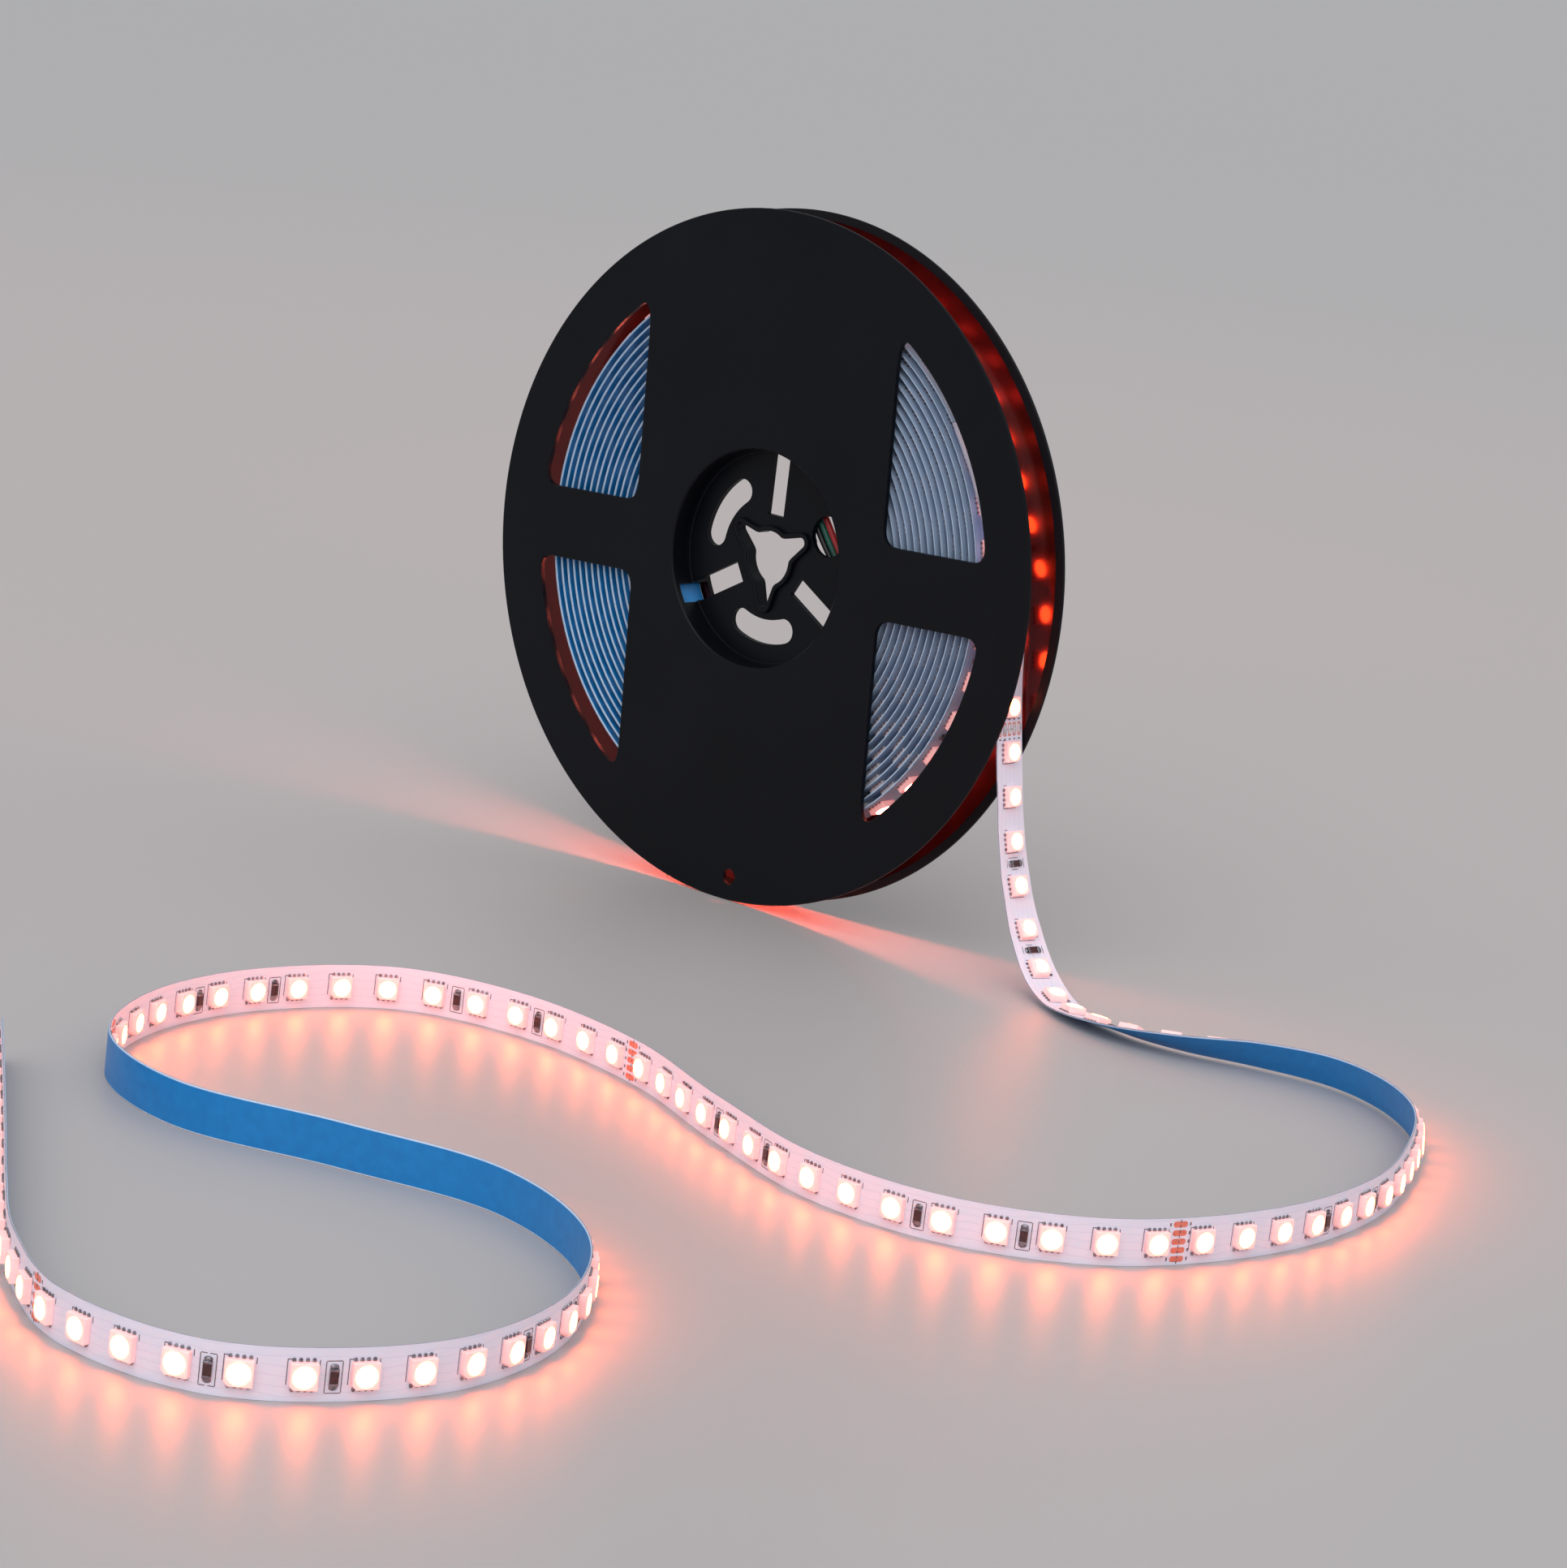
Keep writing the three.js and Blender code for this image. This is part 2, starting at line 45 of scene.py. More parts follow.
# Sizes that the part's source sets too
REEL_RADIUS = 88.89
REEL_CENTRE = 88.893
PLATE_OUTER = 7.2
PLATE_INNER = 5.7
RIM_CHAMFER_WIDTH = 2.0
RIM_CHAMFER_DEPTH = 0.6
DRUM_RADIUS = 41.0
DRUM_WALL = 1.5
WELL_RADIUS = 28.0
WELL_WALL = 1.5
WEB_THICKNESS = 0.8
WINDOW_TURN = 3.0
WINDOW_OUTER = 75.0
WINDOW_INNER_X = 41.5
SPOKE_HALF_WIDTH = 9.3
WINDOW_CORNER = 4.5
BORE_RADIUS = 7.0
KEYWAY_ANGLES = (30, 150, 270)
KEYWAY_ROOT_WIDTH = 7.5
KEYWAY_TIP_WIDTH = 2.6
KEYWAY_REACH = 11.8
BORE_RIM_WIDTH = 1.3
BORE_RIM_TOP = 2.0
KIDNEY_ANGLES = (150, 270)
KIDNEY_INNER = 16.0
KIDNEY_OUTER = 22.3
KIDNEY_HALF_ANGLE = 22.0
SLOT_ANGLES = (90, 330)
OPEN_SLOT_ANGLE = 210
SLOT_WIDTH = 5.4
SLOT_INNER = 11.0
SLOT_OUTER = 27.0
LEAD_HOLE_RADIUS = 5.2
LEAD_HOLE_DISTANCE = 20.2
LEAD_HOLE_ANGLE = 26.4
THREAD_HOLE_RADIUS = 2.0
THREAD_HOLE_DISTANCE = 82.8
THREAD_HOLE_ANGLE = -87.0
DRUM_SLOT_ANGLES = (122, 162)
LEAD_NOTCH_ANGLES = (314, 358)
PEG_ANGLES = (0, 60, 120)
PEG_CIRCLE = 34.5
PEG_BOSS_RADIUS = 3.4

# How far walls run into the flange, and how much larger than the well the hole is that the
# flange has for it, which the well's collar hides
INTO_PLATE = 0.3
COLLAR_OVERLAP = 0.4

# The tape
TAPE_WIDTH = 10.0
TAPE_FACE = 0.125
ADHESIVE_WIDTH = 9.8
ADHESIVE_BACK = -0.24
LINER_WIDTH = 9.3
LINER_BACK = -0.325
LED_PITCH = 100 / 9
LED_SIZE = 5.0
LED_TOP = TAPE_FACE + 1.6
LENS_RADIUS = 2.1
LEDS_PER_CUT = 15
LEDS_BEFORE_FIRST_CUT = 7
TAIL_CUTS = 7
TAIL_LEDS = LEDS_BEFORE_FIRST_CUT + TAIL_CUTS * LEDS_PER_CUT
RESISTOR_AFTER = (2, 4, 8, 10)
RESISTOR_SHIFT = 0.4
PAD_PITCH = 1.85
PAD_PLACES = [(i - 2) * PAD_PITCH for i in range(5)]
PAD_TOP = TAPE_FACE + 0.05
PRINTED_LINE = 0.16
INK_TOP = TAPE_FACE + 0.03

# What a lit lens gives off in red, green and blue, many times what white paper would
LOOSE_LIGHT = (40.0, 5.2, 0.9)
WOUND_LIGHT = (75.0, 9.8, 6.4)

# The roll on the drum and the inner end of the tape
ROLL_OUTER = 72.5
ROLL_INNER = 42.0
ROLL_OUTER_ANGLE = 39.0
ROLL_INNER_ANGLE = 130.0
ROLL_FULL_TURNS = 14
ROLL_TURNS = ROLL_FULL_TURNS + (ROLL_INNER_ANGLE - ROLL_OUTER_ANGLE) / 360
TURN_PITCH = (ROLL_OUTER - ROLL_INNER) / ROLL_TURNS
INNER_END_RADIUS = 30.6
INNER_END_SETTLED = 195.0
INNER_END_ANGLE = 234.0
INNER_END_GAP_ANGLE = 0.4
LEAD_SWELL = 0.2

# The loose tape's centre line, with the tilt of its width in degrees: 0 is flat and 90 on edge
TAIL_ROUTE = [
    (56.53, 0, 134.29, 0),
    (64.3, 0, 122.6, 0),
    (70.9, 0, 109.7, 0),
    (76.2, 0, 98, 0),
    (79.4, 0, 86, 0),
    (80.6, 0, 74, 0),
    (82.4, 0, 62, 0),
    (84.6, 0, 50, 0),
    (87, 0, 38, 0),
    (90.6, -0.2, 26, 0),
    (96.2, -1, 14.5, 0),
    (104.5, -3.5, 5.4, 0),
    (115, -8.4, 1.6, 3),
    (127, -14.6, 1.9, 10),
    (141, -17.6, 2.7, 21),
    (156.5, -15.4, 3.6, 34),
    (174, -8.2, 4.5, 50),
    (192, -4.4, 4.85, 60),
    (210, -9.6, 5, 68),
    (229, -24.5, 5.05, 78),
    (245.5, -51, 5.05, 86),
    (258.5, -84, 5.05, 90),
    (261, -125, 5.05, 90),
    (248, -164, 5.05, 90),
    (222, -184, 5.05, 90),
    (189, -187.3, 5.05, 90),
    (149.6, -174.4, 5.05, 90),
    (110.3, -158.2, 5.05, 90),
    (71, -154.3, 5.05, 90),
    (43.6, -165, 5.05, 90),
    (30.3, -196, 5.05, 90),
    (34, -232, 5.05, 90),
    (55, -263, 5.05, 90),
    (88, -273.6, 5.05, 90),
    (126, -262.5, 5.05, 90),
    (163, -254.6, 5.05, 90),
    (200, -269, 5.05, 90),
    (226, -303, 5.05, 90),
    (231.5, -341, 5.05, 90),
    (212, -375.5, 5.05, 90),
    (178, -381.6, 5.05, 90),
    (147, -367.2, 5.05, 90),
    (122, -348, 5.05, 90),
    (98, -328, 5.05, 90),
    (71, -305.6, 5.05, 90),
    (34.5, -275.5, 5.05, 90),
]


# Camera
def make_camera():
    camera = bpy.data.objects.new("camera", bpy.data.cameras.new("camera"))
    bpy.context.scene.collection.objects.link(camera)
    place = Vector((0.7914, -0.9430, 0.2921))
    right = Vector((0.7493, 0.6514, 0.1192))
    up = Vector((-0.2254, 0.0815, 0.9709))
    ahead = Vector((-0.6227, 0.7543, -0.2079))
    turn = Matrix((right, up, -ahead)).transposed().to_4x4()
    camera.matrix_world = Matrix.Translation(place) @ turn
    camera.data.lens = 111.8
    camera.data.sensor_width = 36
    camera.data.clip_end = 100
    bpy.context.scene.camera = camera


make_camera()


# Lines that the tape lies along
class Route:
    """A line through space. For a distance along it, it gives a place, the direction across the
    tape's width and the direction outward from its LED side."""

    LOOK = 1.5

    def __init__(self, points, acrosses):
        self.points = points
        self.acrosses = acrosses
        self.distances = [0.0]
        for before, after in zip(points, points[1:]):
            self.distances.append(self.distances[-1] + (after - before).length)
        self.length = self.distances[-1]
        self.known = {}

    def _between(self, distance, values):
        last = len(self.points) - 2
        index = min(max(bisect_right(self.distances, distance) - 1, 0), last)
        span = self.distances[index + 1] - self.distances[index]
        share = (distance - self.distances[index]) / span
        return values[index].lerp(values[index + 1], share)

    def frame(self, distance):
        key = round(distance, 3)
        if key not in self.known:
            point = self._between(distance, self.points)
            ahead = self._between(distance + self.LOOK, self.points)
            behind = self._between(distance - self.LOOK, self.points)
            along = (ahead - behind).normalized()
            across = self._between(distance, self.acrosses)
            across = (across - along * along.dot(across)).normalized()
            self.known[key] = (point, across, along.cross(across))
        return self.known[key]


def centripetal(points, steps):
    """Points on a centripetal Catmull-Rom curve, as the part's source draws the tape."""
    first = points[0] * 2 - points[1]
    last = points[-1] * 2 - points[-2]
    ends = [first, *points, last]
    curve = []
    for a, b, c, d in zip(ends, ends[1:], ends[2:], ends[3:]):
        before = (b - a).length ** 0.5
        here = (c - b).length ** 0.5
        after = (d - c).length ** 0.5
        start = (b - a) / before - (c - a) / (before + here) + (c - b) / here
        end = (c - b) / here - (d - b) / (here + after) + (d - c) / after
        for i in range(steps):
            t = i / steps
            place = b * (2 * t**3 - 3 * t**2 + 1) + c * (3 * t**2 - 2 * t**3)
            place += start * here * (t**3 - 2 * t**2 + t)
            place += end * here * (t**3 - t**2)
            curve.append(place)
    curve.append(points[-1].copy())
    return curve


def tail_route():
    """The loose tape's route, whose width tilts from flat to on edge."""
    steps = 16
    points = centripetal([Vector(place[:3]) for place in TAIL_ROUTE], steps)
    acrosses = []
    for i, point in enumerate(points):
        before = TAIL_ROUTE[min(i // steps, len(TAIL_ROUTE) - 2)][3]
        after = TAIL_ROUTE[min(i // steps + 1, len(TAIL_ROUTE) - 1)][3]
        tilt = math.radians(before + (after - before) * (i % steps) / steps)
        ahead = points[min(i + 1, len(points) - 1)] - points[max(i - 1, 0)]
        ahead.normalize()
        flat = Vector((max(ahead.x, 0.05), ahead.y, 0)).normalized()
        sideways = Vector((-flat.y, flat.x, 0))
        acrosses.append(sideways * math.cos(tilt) + Vector((0, 0, -math.sin(tilt))))
    return Route(points, acrosses)


def reel_point(radius, angle):
    turn = math.radians(angle)
    return Vector((radius * math.cos(turn), 0, REEL_CENTRE + radius * math.sin(turn)))


def reel_route(radius_at, first, last):
    """A line about the reel's axis, from one angle round to another in steps of 2 degrees."""
    count = round(abs(last - first) / 2)
    angles = [first + (last - first) * i / count for i in range(count + 1)]
    points = [reel_point(radius_at(angle), angle) for angle in angles]
    return Route(points, [Vector((0, 1, 0))] * len(points))


def roll_radius(angle):
    return ROLL_OUTER - TURN_PITCH * (angle - ROLL_OUTER_ANGLE) / 360


def inner_end_radius(angle):
    share = (angle - ROLL_INNER_ANGLE) / (INNER_END_SETTLED - ROLL_INNER_ANGLE)
    share = min(max(share, 0), 1)
    eased = share * share * (3 - 2 * share)
    return ROLL_INNER + (INNER_END_RADIUS - ROLL_INNER) * eased


TAIL = tail_route()
ROLL = reel_route(roll_radius, ROLL_OUTER_ANGLE + 360 * ROLL_TURNS, ROLL_OUTER_ANGLE)
INNER_END = reel_route(
    inner_end_radius, INNER_END_ANGLE, ROLL_INNER_ANGLE + INNER_END_GAP_ANGLE
)
TAIL_LENGTH = TAIL_LEDS * LED_PITCH


# Materials
def colour(code):
    """An sRGB hex value as the linear colour that a shader's socket takes."""
    channels = [int(code[i : i + 2], 16) / 255 for i in (0, 2, 4)]
    linear = [c / 12.92 if c <= 0.04045 else ((c + 0.055) / 1.055) ** 2.4 for c in channels]
    return (*linear, 1.0)


def node(tree, kind, settings=None, **sockets):
    """Adds a node. Settings are its properties, and each socket takes a value or an output.
    A socket that shares its name with others is given by its number, as n0."""
    made = tree.nodes.new(kind)
    for name, value in (settings or {}).items():
        setattr(made, name, value)
    for name, value in sockets.items():
        numbered = name[0] == "n" and name[1:].isdigit()
        socket = made.inputs[int(name[1:]) if numbered else name.replace("_", " ")]
        if isinstance(value, bpy.types.NodeSocket):
            tree.links.new(value, socket)
        else:
            socket.default_value = value
    return made


def new_material(name, **sockets):
    """A material with one Principled shader, its node tree and the shader to link into."""
    made = bpy.data.materials.new(name)
    made.use_nodes = True
    shader = made.node_tree.nodes["Principled BSDF"]
    for socket, value in sockets.items():
        shader.inputs[socket.replace("_", " ")].default_value = value
    return made, made.node_tree, shader


def ramp(tree, factor, stops):
    """A colour ramp whose stops are places and sRGB hex values."""
    made = node(tree, "ShaderNodeValToRGB", Fac=factor)
    elements = made.color_ramp.elements
    while len(elements) < len(stops):
        elements.new(0.5)
    for element, (place, code) in zip(elements, stops):
        element.position = place
        element.color = colour(code)
    return made.outputs["Color"]


def polystyrene():
    """High-impact polystyrene, injection moulded: black, with a soft shine that varies
    a little from place to place and a fine spark texture from the mould."""
    made, tree, shader = new_material("moulded_polystyrene", Specular_IOR_Level=0.16)
    place = node(tree, "ShaderNodeTexCoord").outputs["Object"]
    cloud = node(tree, "ShaderNodeTexNoise", Vector=place, Scale=38.0, Detail=3.0)
    grain = node(tree, "ShaderNodeTexNoise", Vector=place, Scale=1900.0, Detail=2.0)
    tone = ramp(tree, cloud.outputs["Fac"], [(0.35, "080b11"), (0.7, "0b0e15")])
    rough = node(
        tree, "ShaderNodeMapRange", Value=cloud.outputs["Fac"], To_Min=0.34, To_Max=0.46
    )
    bump = node(
        tree, "ShaderNodeBump", Height=grain.outputs["Fac"], Strength=0.12, Distance=0.0001
    )
    tree.links.new(tone, shader.inputs["Base Color"])
    tree.links.new(rough.outputs["Result"], shader.inputs["Roughness"])
    tree.links.new(bump.outputs["Normal"], shader.inputs["Normal"])
    return made


def polished_polystyrene_painted_red_glow():
    """The same plastic from the polished side of the mould, inside the flanges, where the tape
    has to slip. Its deep red base is a painted red glow of the lit LEDs and its red specular
    tint a painted red reflection; one noise gives both its scuffed roughness and the patchy
    painted glow."""
    # The red specular tint is a painted red reflection of the LEDs
    made, tree, shader = new_material(
        "polished_polystyrene_painted_red_glow", Specular_IOR_Level=0.8, Specular_Tint=colour("ff4a3c"),
        Coat_Weight=0.3, Coat_Roughness=0.09,
    )
    place = node(tree, "ShaderNodeTexCoord").outputs["Object"]
    scuffs_and_painted_glow = node(tree, "ShaderNodeTexNoise", Vector=place, Scale=210.0, Detail=4.0)
    # Deep red tone: painted red glow of the lit LEDs, patchy after the scuff noise
    tone = ramp(tree, scuffs_and_painted_glow.outputs["Fac"], [(0.3, "180506"), (0.7, "22080a")])
    rough = node(
        tree, "ShaderNodeMapRange", Value=scuffs_and_painted_glow.outputs["Fac"], To_Min=0.18, To_Max=0.3
    )
    tree.links.new(tone, shader.inputs["Base Color"])
    tree.links.new(rough.outputs["Result"], shader.inputs["Roughness"])
    return made


def solder_mask(name, trace, face):
    """White solder mask printed over etched copper: satin white, with the copper's traces
    standing faintly under it along the tape. The roll's turns get a darker blue-grey copy:
    painted shade between the turns and a painted blue reflection of the film that faces them."""
    made, tree, shader = new_material(name, Roughness=0.42, IOR=1.5)
    place = node(tree, "ShaderNodeUVMap", {"uv_map": "tape"}).outputs["UV"]
    parts = node(tree, "ShaderNodeSeparateXYZ", Vector=place)
    bend = node(tree, "ShaderNodeTexNoise", Vector=place, Scale=0.9, Detail=1.0)
    shift = node(
        tree, "ShaderNodeMath", {"operation": "MULTIPLY_ADD"},
        n0=bend.outputs["Fac"], n1=0.35, n2=parts.outputs["Y"],
    )
    lines = node(
        tree, "ShaderNodeMath", {"operation": "MULTIPLY"}, n0=shift.outputs[0], n1=6.0
    )
    wave = node(tree, "ShaderNodeMath", {"operation": "FRACT"}, n0=lines.outputs[0])
    edge = node(tree, "ShaderNodeMapRange", Value=wave.outputs[0], From_Min=0.12, From_Max=0.2)
    tone = ramp(tree, edge.outputs["Result"], [(0.0, trace), (1.0, face)])
    bump = node(
        tree, "ShaderNodeBump", Height=edge.outputs["Result"], Strength=0.3, Distance=0.00004
    )
    tree.links.new(tone, shader.inputs["Base Color"])
    tree.links.new(bump.outputs["Normal"], shader.inputs["Normal"])
    return made


def board_edge(name, low, high):
    """Slit edge of the flexible board: white ink over polyimide, cut through to a line that
    is greyer than the face. The roll gets a lighter, bluer copy: a painted highlight on the lit
    edges and a painted blue reflection of the film."""
    made, tree, shader = new_material(name, Roughness=0.5)
    place = node(tree, "ShaderNodeTexCoord").outputs["Object"]
    fibre = node(tree, "ShaderNodeTexNoise", Vector=place, Scale=700.0, Detail=2.0)
    tone = ramp(tree, fibre.outputs["Fac"], [(0.3, low), (0.7, high)])
    tree.links.new(tone, shader.inputs["Base Color"])
    return made


def adhesive():
    """Acrylic foam adhesive on the back of the tape: a pale line at the edge."""
    made, tree, shader = new_material("acrylic_adhesive", Roughness=0.55)
    place = node(tree, "ShaderNodeTexCoord").outputs["Object"]
    cells = node(tree, "ShaderNodeTexNoise", Vector=place, Scale=900.0, Detail=2.0)
    tone = ramp(tree, cells.outputs["Fac"], [(0.3, "c6dcf2"), (0.7, "dcebf8")])
    tree.links.new(tone, shader.inputs["Base Color"])
    return made


def release_film(name, low, high):
    """Siliconed polyester release film, dyed blue: satin, a little mottled where the
    adhesive behind it wets it unevenly. The roll gets a darker copy, as painted shade between its
    turns."""
    made, tree, shader = new_material(name, Roughness=0.4, IOR=1.57)
    place = node(tree, "ShaderNodeTexCoord").outputs["Object"]
    mottle = node(tree, "ShaderNodeTexNoise", Vector=place, Scale=420.0, Detail=4.0)
    tone = ramp(tree, mottle.outputs["Fac"], [(0.3, low), (0.72, high)])
    bump = node(
        tree, "ShaderNodeBump", Height=mottle.outputs["Fac"], Strength=0.25, Distance=0.0001
    )
    tree.links.new(tone, shader.inputs["Base Color"])
    tree.links.new(bump.outputs["Normal"], shader.inputs["Normal"])
    return made


def led_housing(lit):
    """White polyphthalamide LED housing. A lit one lets some of its light through its walls,
    so that it shows coral round the lens."""
    name = "lit_led_housing" if lit else "led_housing"
    made, tree, shader = new_material(name, Roughness=0.38, IOR=1.6)
    place = node(tree, "ShaderNodeTexCoord").outputs["Object"]
    cloud = node(tree, "ShaderNodeTexNoise", Vector=place, Scale=600.0, Detail=2.0)
    tone = ramp(tree, cloud.outputs["Fac"], [(0.3, "e4dcdc"), (0.7, "efe8e6")])
    tree.links.new(tone, shader.inputs["Base Color"])
    if lit:
        shader.inputs["Emission Color"].default_value = colour("ff6a5c")
        shader.inputs["Emission Strength"].default_value = 0.4
    return made


def led_lens(light=None):
    """Silicone potting over the chips: lit it is far brighter than its surroundings and
    mostly red, and unlit it is a yellowish gel."""
    if light is None:
        made, tree, shader = new_material("unlit_silicone_lens", Roughness=0.15, IOR=1.41)
        place = node(tree, "ShaderNodeTexCoord").outputs["Object"]
        cloud = node(tree, "ShaderNodeTexNoise", Vector=place, Scale=800.0)
        tone = ramp(tree, cloud.outputs["Fac"], [(0.3, "b8b28e"), (0.7, "d2cca6")])
        tree.links.new(tone, shader.inputs["Base Color"])
        return made
    made, tree, shader = new_material("lit_silicone_lens", Roughness=0.3, IOR=1.41)
    shader.inputs["Base Color"].default_value = colour("fff0e0")
    shader.inputs["Emission Color"].default_value = (*light, 1.0)
    shader.inputs["Emission Strength"].default_value = 1.0
    return made


def metal(name, low, high, roughness, metallic=1.0):
    """Reflowed metal: bright where it is smooth and dull where flux has dried on it."""
    made, tree, shader = new_material(name, Metallic=metallic, Roughness=roughness)
    place = node(tree, "ShaderNodeTexCoord").outputs["Object"]
    flux = node(tree, "ShaderNodeTexNoise", Vector=place, Scale=900.0, Detail=3.0)
    tone = ramp(tree, flux.outputs["Fac"], [(0.35, low), (0.65, high)])
    tree.links.new(tone, shader.inputs["Base Color"])
    return made


def ceramic():
    """Resistor: glass-coated alumina chip with a dark red-brown film."""
    made, tree, shader = new_material("resistor_film", Roughness=0.25, IOR=1.6)
    place = node(tree, "ShaderNodeTexCoord").outputs["Object"]
    film = node(tree, "ShaderNodeTexNoise", Vector=place, Scale=1200.0, Detail=2.0)
    tone = ramp(tree, film.outputs["Fac"], [(0.3, "2c1518"), (0.7, "4a2226")])
    tree.links.new(tone, shader.inputs["Base Color"])
    return made


def ink():
    """Epoxy marking ink: thin matt dark lines on the white mask."""
    made, tree, shader = new_material("marking_ink", Roughness=0.7)
    place = node(tree, "ShaderNodeTexCoord").outputs["Object"]
    wear = node(tree, "ShaderNodeTexNoise", Vector=place, Scale=1500.0, Detail=2.0)
    tone = ramp(tree, wear.outputs["Fac"], [(0.3, "54424a"), (0.7, "7c666e")])
    tree.links.new(tone, shader.inputs["Base Color"])
    return made


def insulation(name, low, high):
    """Extruded vinyl insulation: smooth and satin, with a faint lengthwise unevenness."""
    made, tree, shader = new_material(name, Roughness=0.38, IOR=1.54)
    place = node(tree, "ShaderNodeTexCoord").outputs["Object"]
    cloud = node(tree, "ShaderNodeTexNoise", Vector=place, Scale=260.0, Detail=2.0)
    tone = ramp(tree, cloud.outputs["Fac"], [(0.3, low), (0.7, high)])
    tree.links.new(tone, shader.inputs["Base Color"])
    return made


PLASTIC = polystyrene()
# The flanges' polished insides, with a painted red glow and painted red reflection
POLISHED_PAINTED_GLOW = polished_polystyrene_painted_red_glow()
MASK = solder_mask("white_solder_mask", "dcdcee", "e2e2f2")
# Darker blue-grey copy of the mask for the roll: painted shade and painted blue reflection
SHADED_WOUND_MASK = solder_mask("shaded_wound_solder_mask", "96a8be", "a2b4ca")
BOARD_EDGE = board_edge("slit_board_edge", "8c889c", "a9a6ba")
# Lighter, bluer copy of the edge for the roll: painted highlight and painted blue reflection
LIT_WOUND_EDGE = board_edge("lit_wound_board_edge", "93abc8", "abc1d9")
ADHESIVE = adhesive()
FILM = release_film("blue_release_film", "0378c0", "0583cb")
# Darker copy of the film for the roll: painted shade between the turns
SHADED_WOUND_FILM = release_film("shaded_wound_release_film", "0568a6", "087cc0")
SOLDER = metal("reflowed_solder", "77727a", "aaa6ae", 0.32)
TIN = metal("tinned_joint", "c0babf", "e6e1e6", 0.3, metallic=0.35)
# Coral pads: copper's own colour with the red light of the LEDs painted in
COPPER_PAINTED_RED = metal("fluxed_copper_pad_painted_red_light", "e07a66", "f08e7a", 0.5, metallic=0.3)
CERAMIC = ceramic()
INK = ink()


# Making pieces
def piece(name, bm, materials, smooth_angle=35):
    """Turns a drawing in millimetres into a piece in metres that rides on the part."""
    bmesh.ops.scale(bm, vec=(MM, MM, MM), verts=bm.verts)
    mesh = bpy.data.meshes.new(name)
    bm.to_mesh(mesh)
    bm.free()
    for material in materials:
        mesh.materials.append(material)
    mesh.shade_smooth()
    mesh.set_sharp_from_angle(angle=math.radians(smooth_angle))
    made = bpy.data.objects.new(name, mesh)
    bpy.context.scene.collection.objects.link(made)
    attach(made, "root")
    return made


def laid(bm, route):
    """Bends a flat drawing, whose X is distance along the tape, onto its route."""
    for vert in bm.verts:
        point, across, outward = route.frame(vert.co.x)
        vert.co = point + across * vert.co.y + outward * vert.co.z
    bmesh.ops.recalc_face_normals(bm, faces=bm.faces)
    return bm


def ease_edges(bm, edges, offset, segments=1):
    """Cuts edges back to narrow flats, or rounds them with more segments."""
    bmesh.ops.bevel(
        bm, geom=edges, offset=offset, segments=segments, profile=0.5, affect="EDGES",
        material=-1,
    )


def add_box(bm, low, high, bevel=0.0):
    """A box between two corners, with its edges eased if a bevel is given."""
    low = Vector(low)
    high = Vector(high)
    made = bmesh.ops.create_cube(bm, size=1)["verts"]
    bmesh.ops.scale(bm, vec=high - low, verts=made)
    bmesh.ops.translate(bm, vec=(low + high) / 2, verts=made)
    if bevel:
        edges = dict.fromkeys(edge for vert in made for edge in vert.link_edges)
        ease_edges(bm, list(edges), bevel)
    return made


def add_blob(bm, centre, size, detail=1):
    """A rounded drop, such as a solder joint."""
    made = bmesh.ops.create_icosphere(bm, subdivisions=detail, radius=1)["verts"]
    bmesh.ops.scale(bm, vec=size, verts=made)
    bmesh.ops.translate(bm, vec=centre, verts=made)


def flat_band(length, step, width, low, high, edge_material=None):
    """A flat band, divided so that it can bend. Its map gives the distance in LED pitches and
    the place across the tape's width."""
    bm = bmesh.new()
    bmesh.ops.create_grid(bm, x_segments=round(length / step), y_segments=2, size=0.5)
    bmesh.ops.scale(bm, vec=(length, width, 1), verts=bm.verts)
    bmesh.ops.translate(bm, vec=(length / 2, 0, low), verts=bm.verts)
    grown = bmesh.ops.extrude_face_region(bm, geom=bm.faces[:], use_keep_orig=True)["geom"]
    raised = [item for item in grown if isinstance(item, bmesh.types.BMVert)]
    bmesh.ops.translate(bm, vec=(0, 0, high - low), verts=raised)
    bmesh.ops.recalc_face_normals(bm, faces=bm.faces)
    upright = 0.5
    layer = bm.loops.layers.uv.new("tape")
    for face in bm.faces:
        if edge_material is not None and abs(face.normal.z) < upright:
            face.material_index = edge_material
        for loop in face.loops:
            loop[layer].uv = (loop.vert.co.x / LED_PITCH, loop.vert.co.y / TAPE_WIDTH + 0.5)
    return bm


def tape_layers(length, step):
    """The board, its adhesive and the narrower release film, each as a flat band."""
    return (
        flat_band(length, step, TAPE_WIDTH, -TAPE_FACE, TAPE_FACE, edge_material=1),
        flat_band(length, step, ADHESIVE_WIDTH, ADHESIVE_BACK, -TAPE_FACE),
        flat_band(length, step, LINER_WIDTH, LINER_BACK, ADHESIVE_BACK),
    )


def as_mesh(bm):
    """Keeps a small drawing as a mesh, so that it can be added again and again."""
    mesh = bpy.data.meshes.new("pattern")
    bm.to_mesh(mesh)
    bm.free()
    return mesh


def joined(*drawings):
    """Several drawings as one."""
    bm = drawings[0]
    for other in drawings[1:]:
        mesh = as_mesh(other)
        bm.from_mesh(mesh)
        bpy.data.meshes.remove(mesh)
    return bm


def repeated(pattern, distances):
    """The same small drawing at each distance along a flat tape."""
    bm = bmesh.new()
    for distance in distances:
        before = len(bm.verts)
        bm.from_mesh(pattern)
        bm.verts.ensure_lookup_table()
        bmesh.ops.translate(bm, vec=(distance, 0, 0), verts=bm.verts[before:])
    return bm


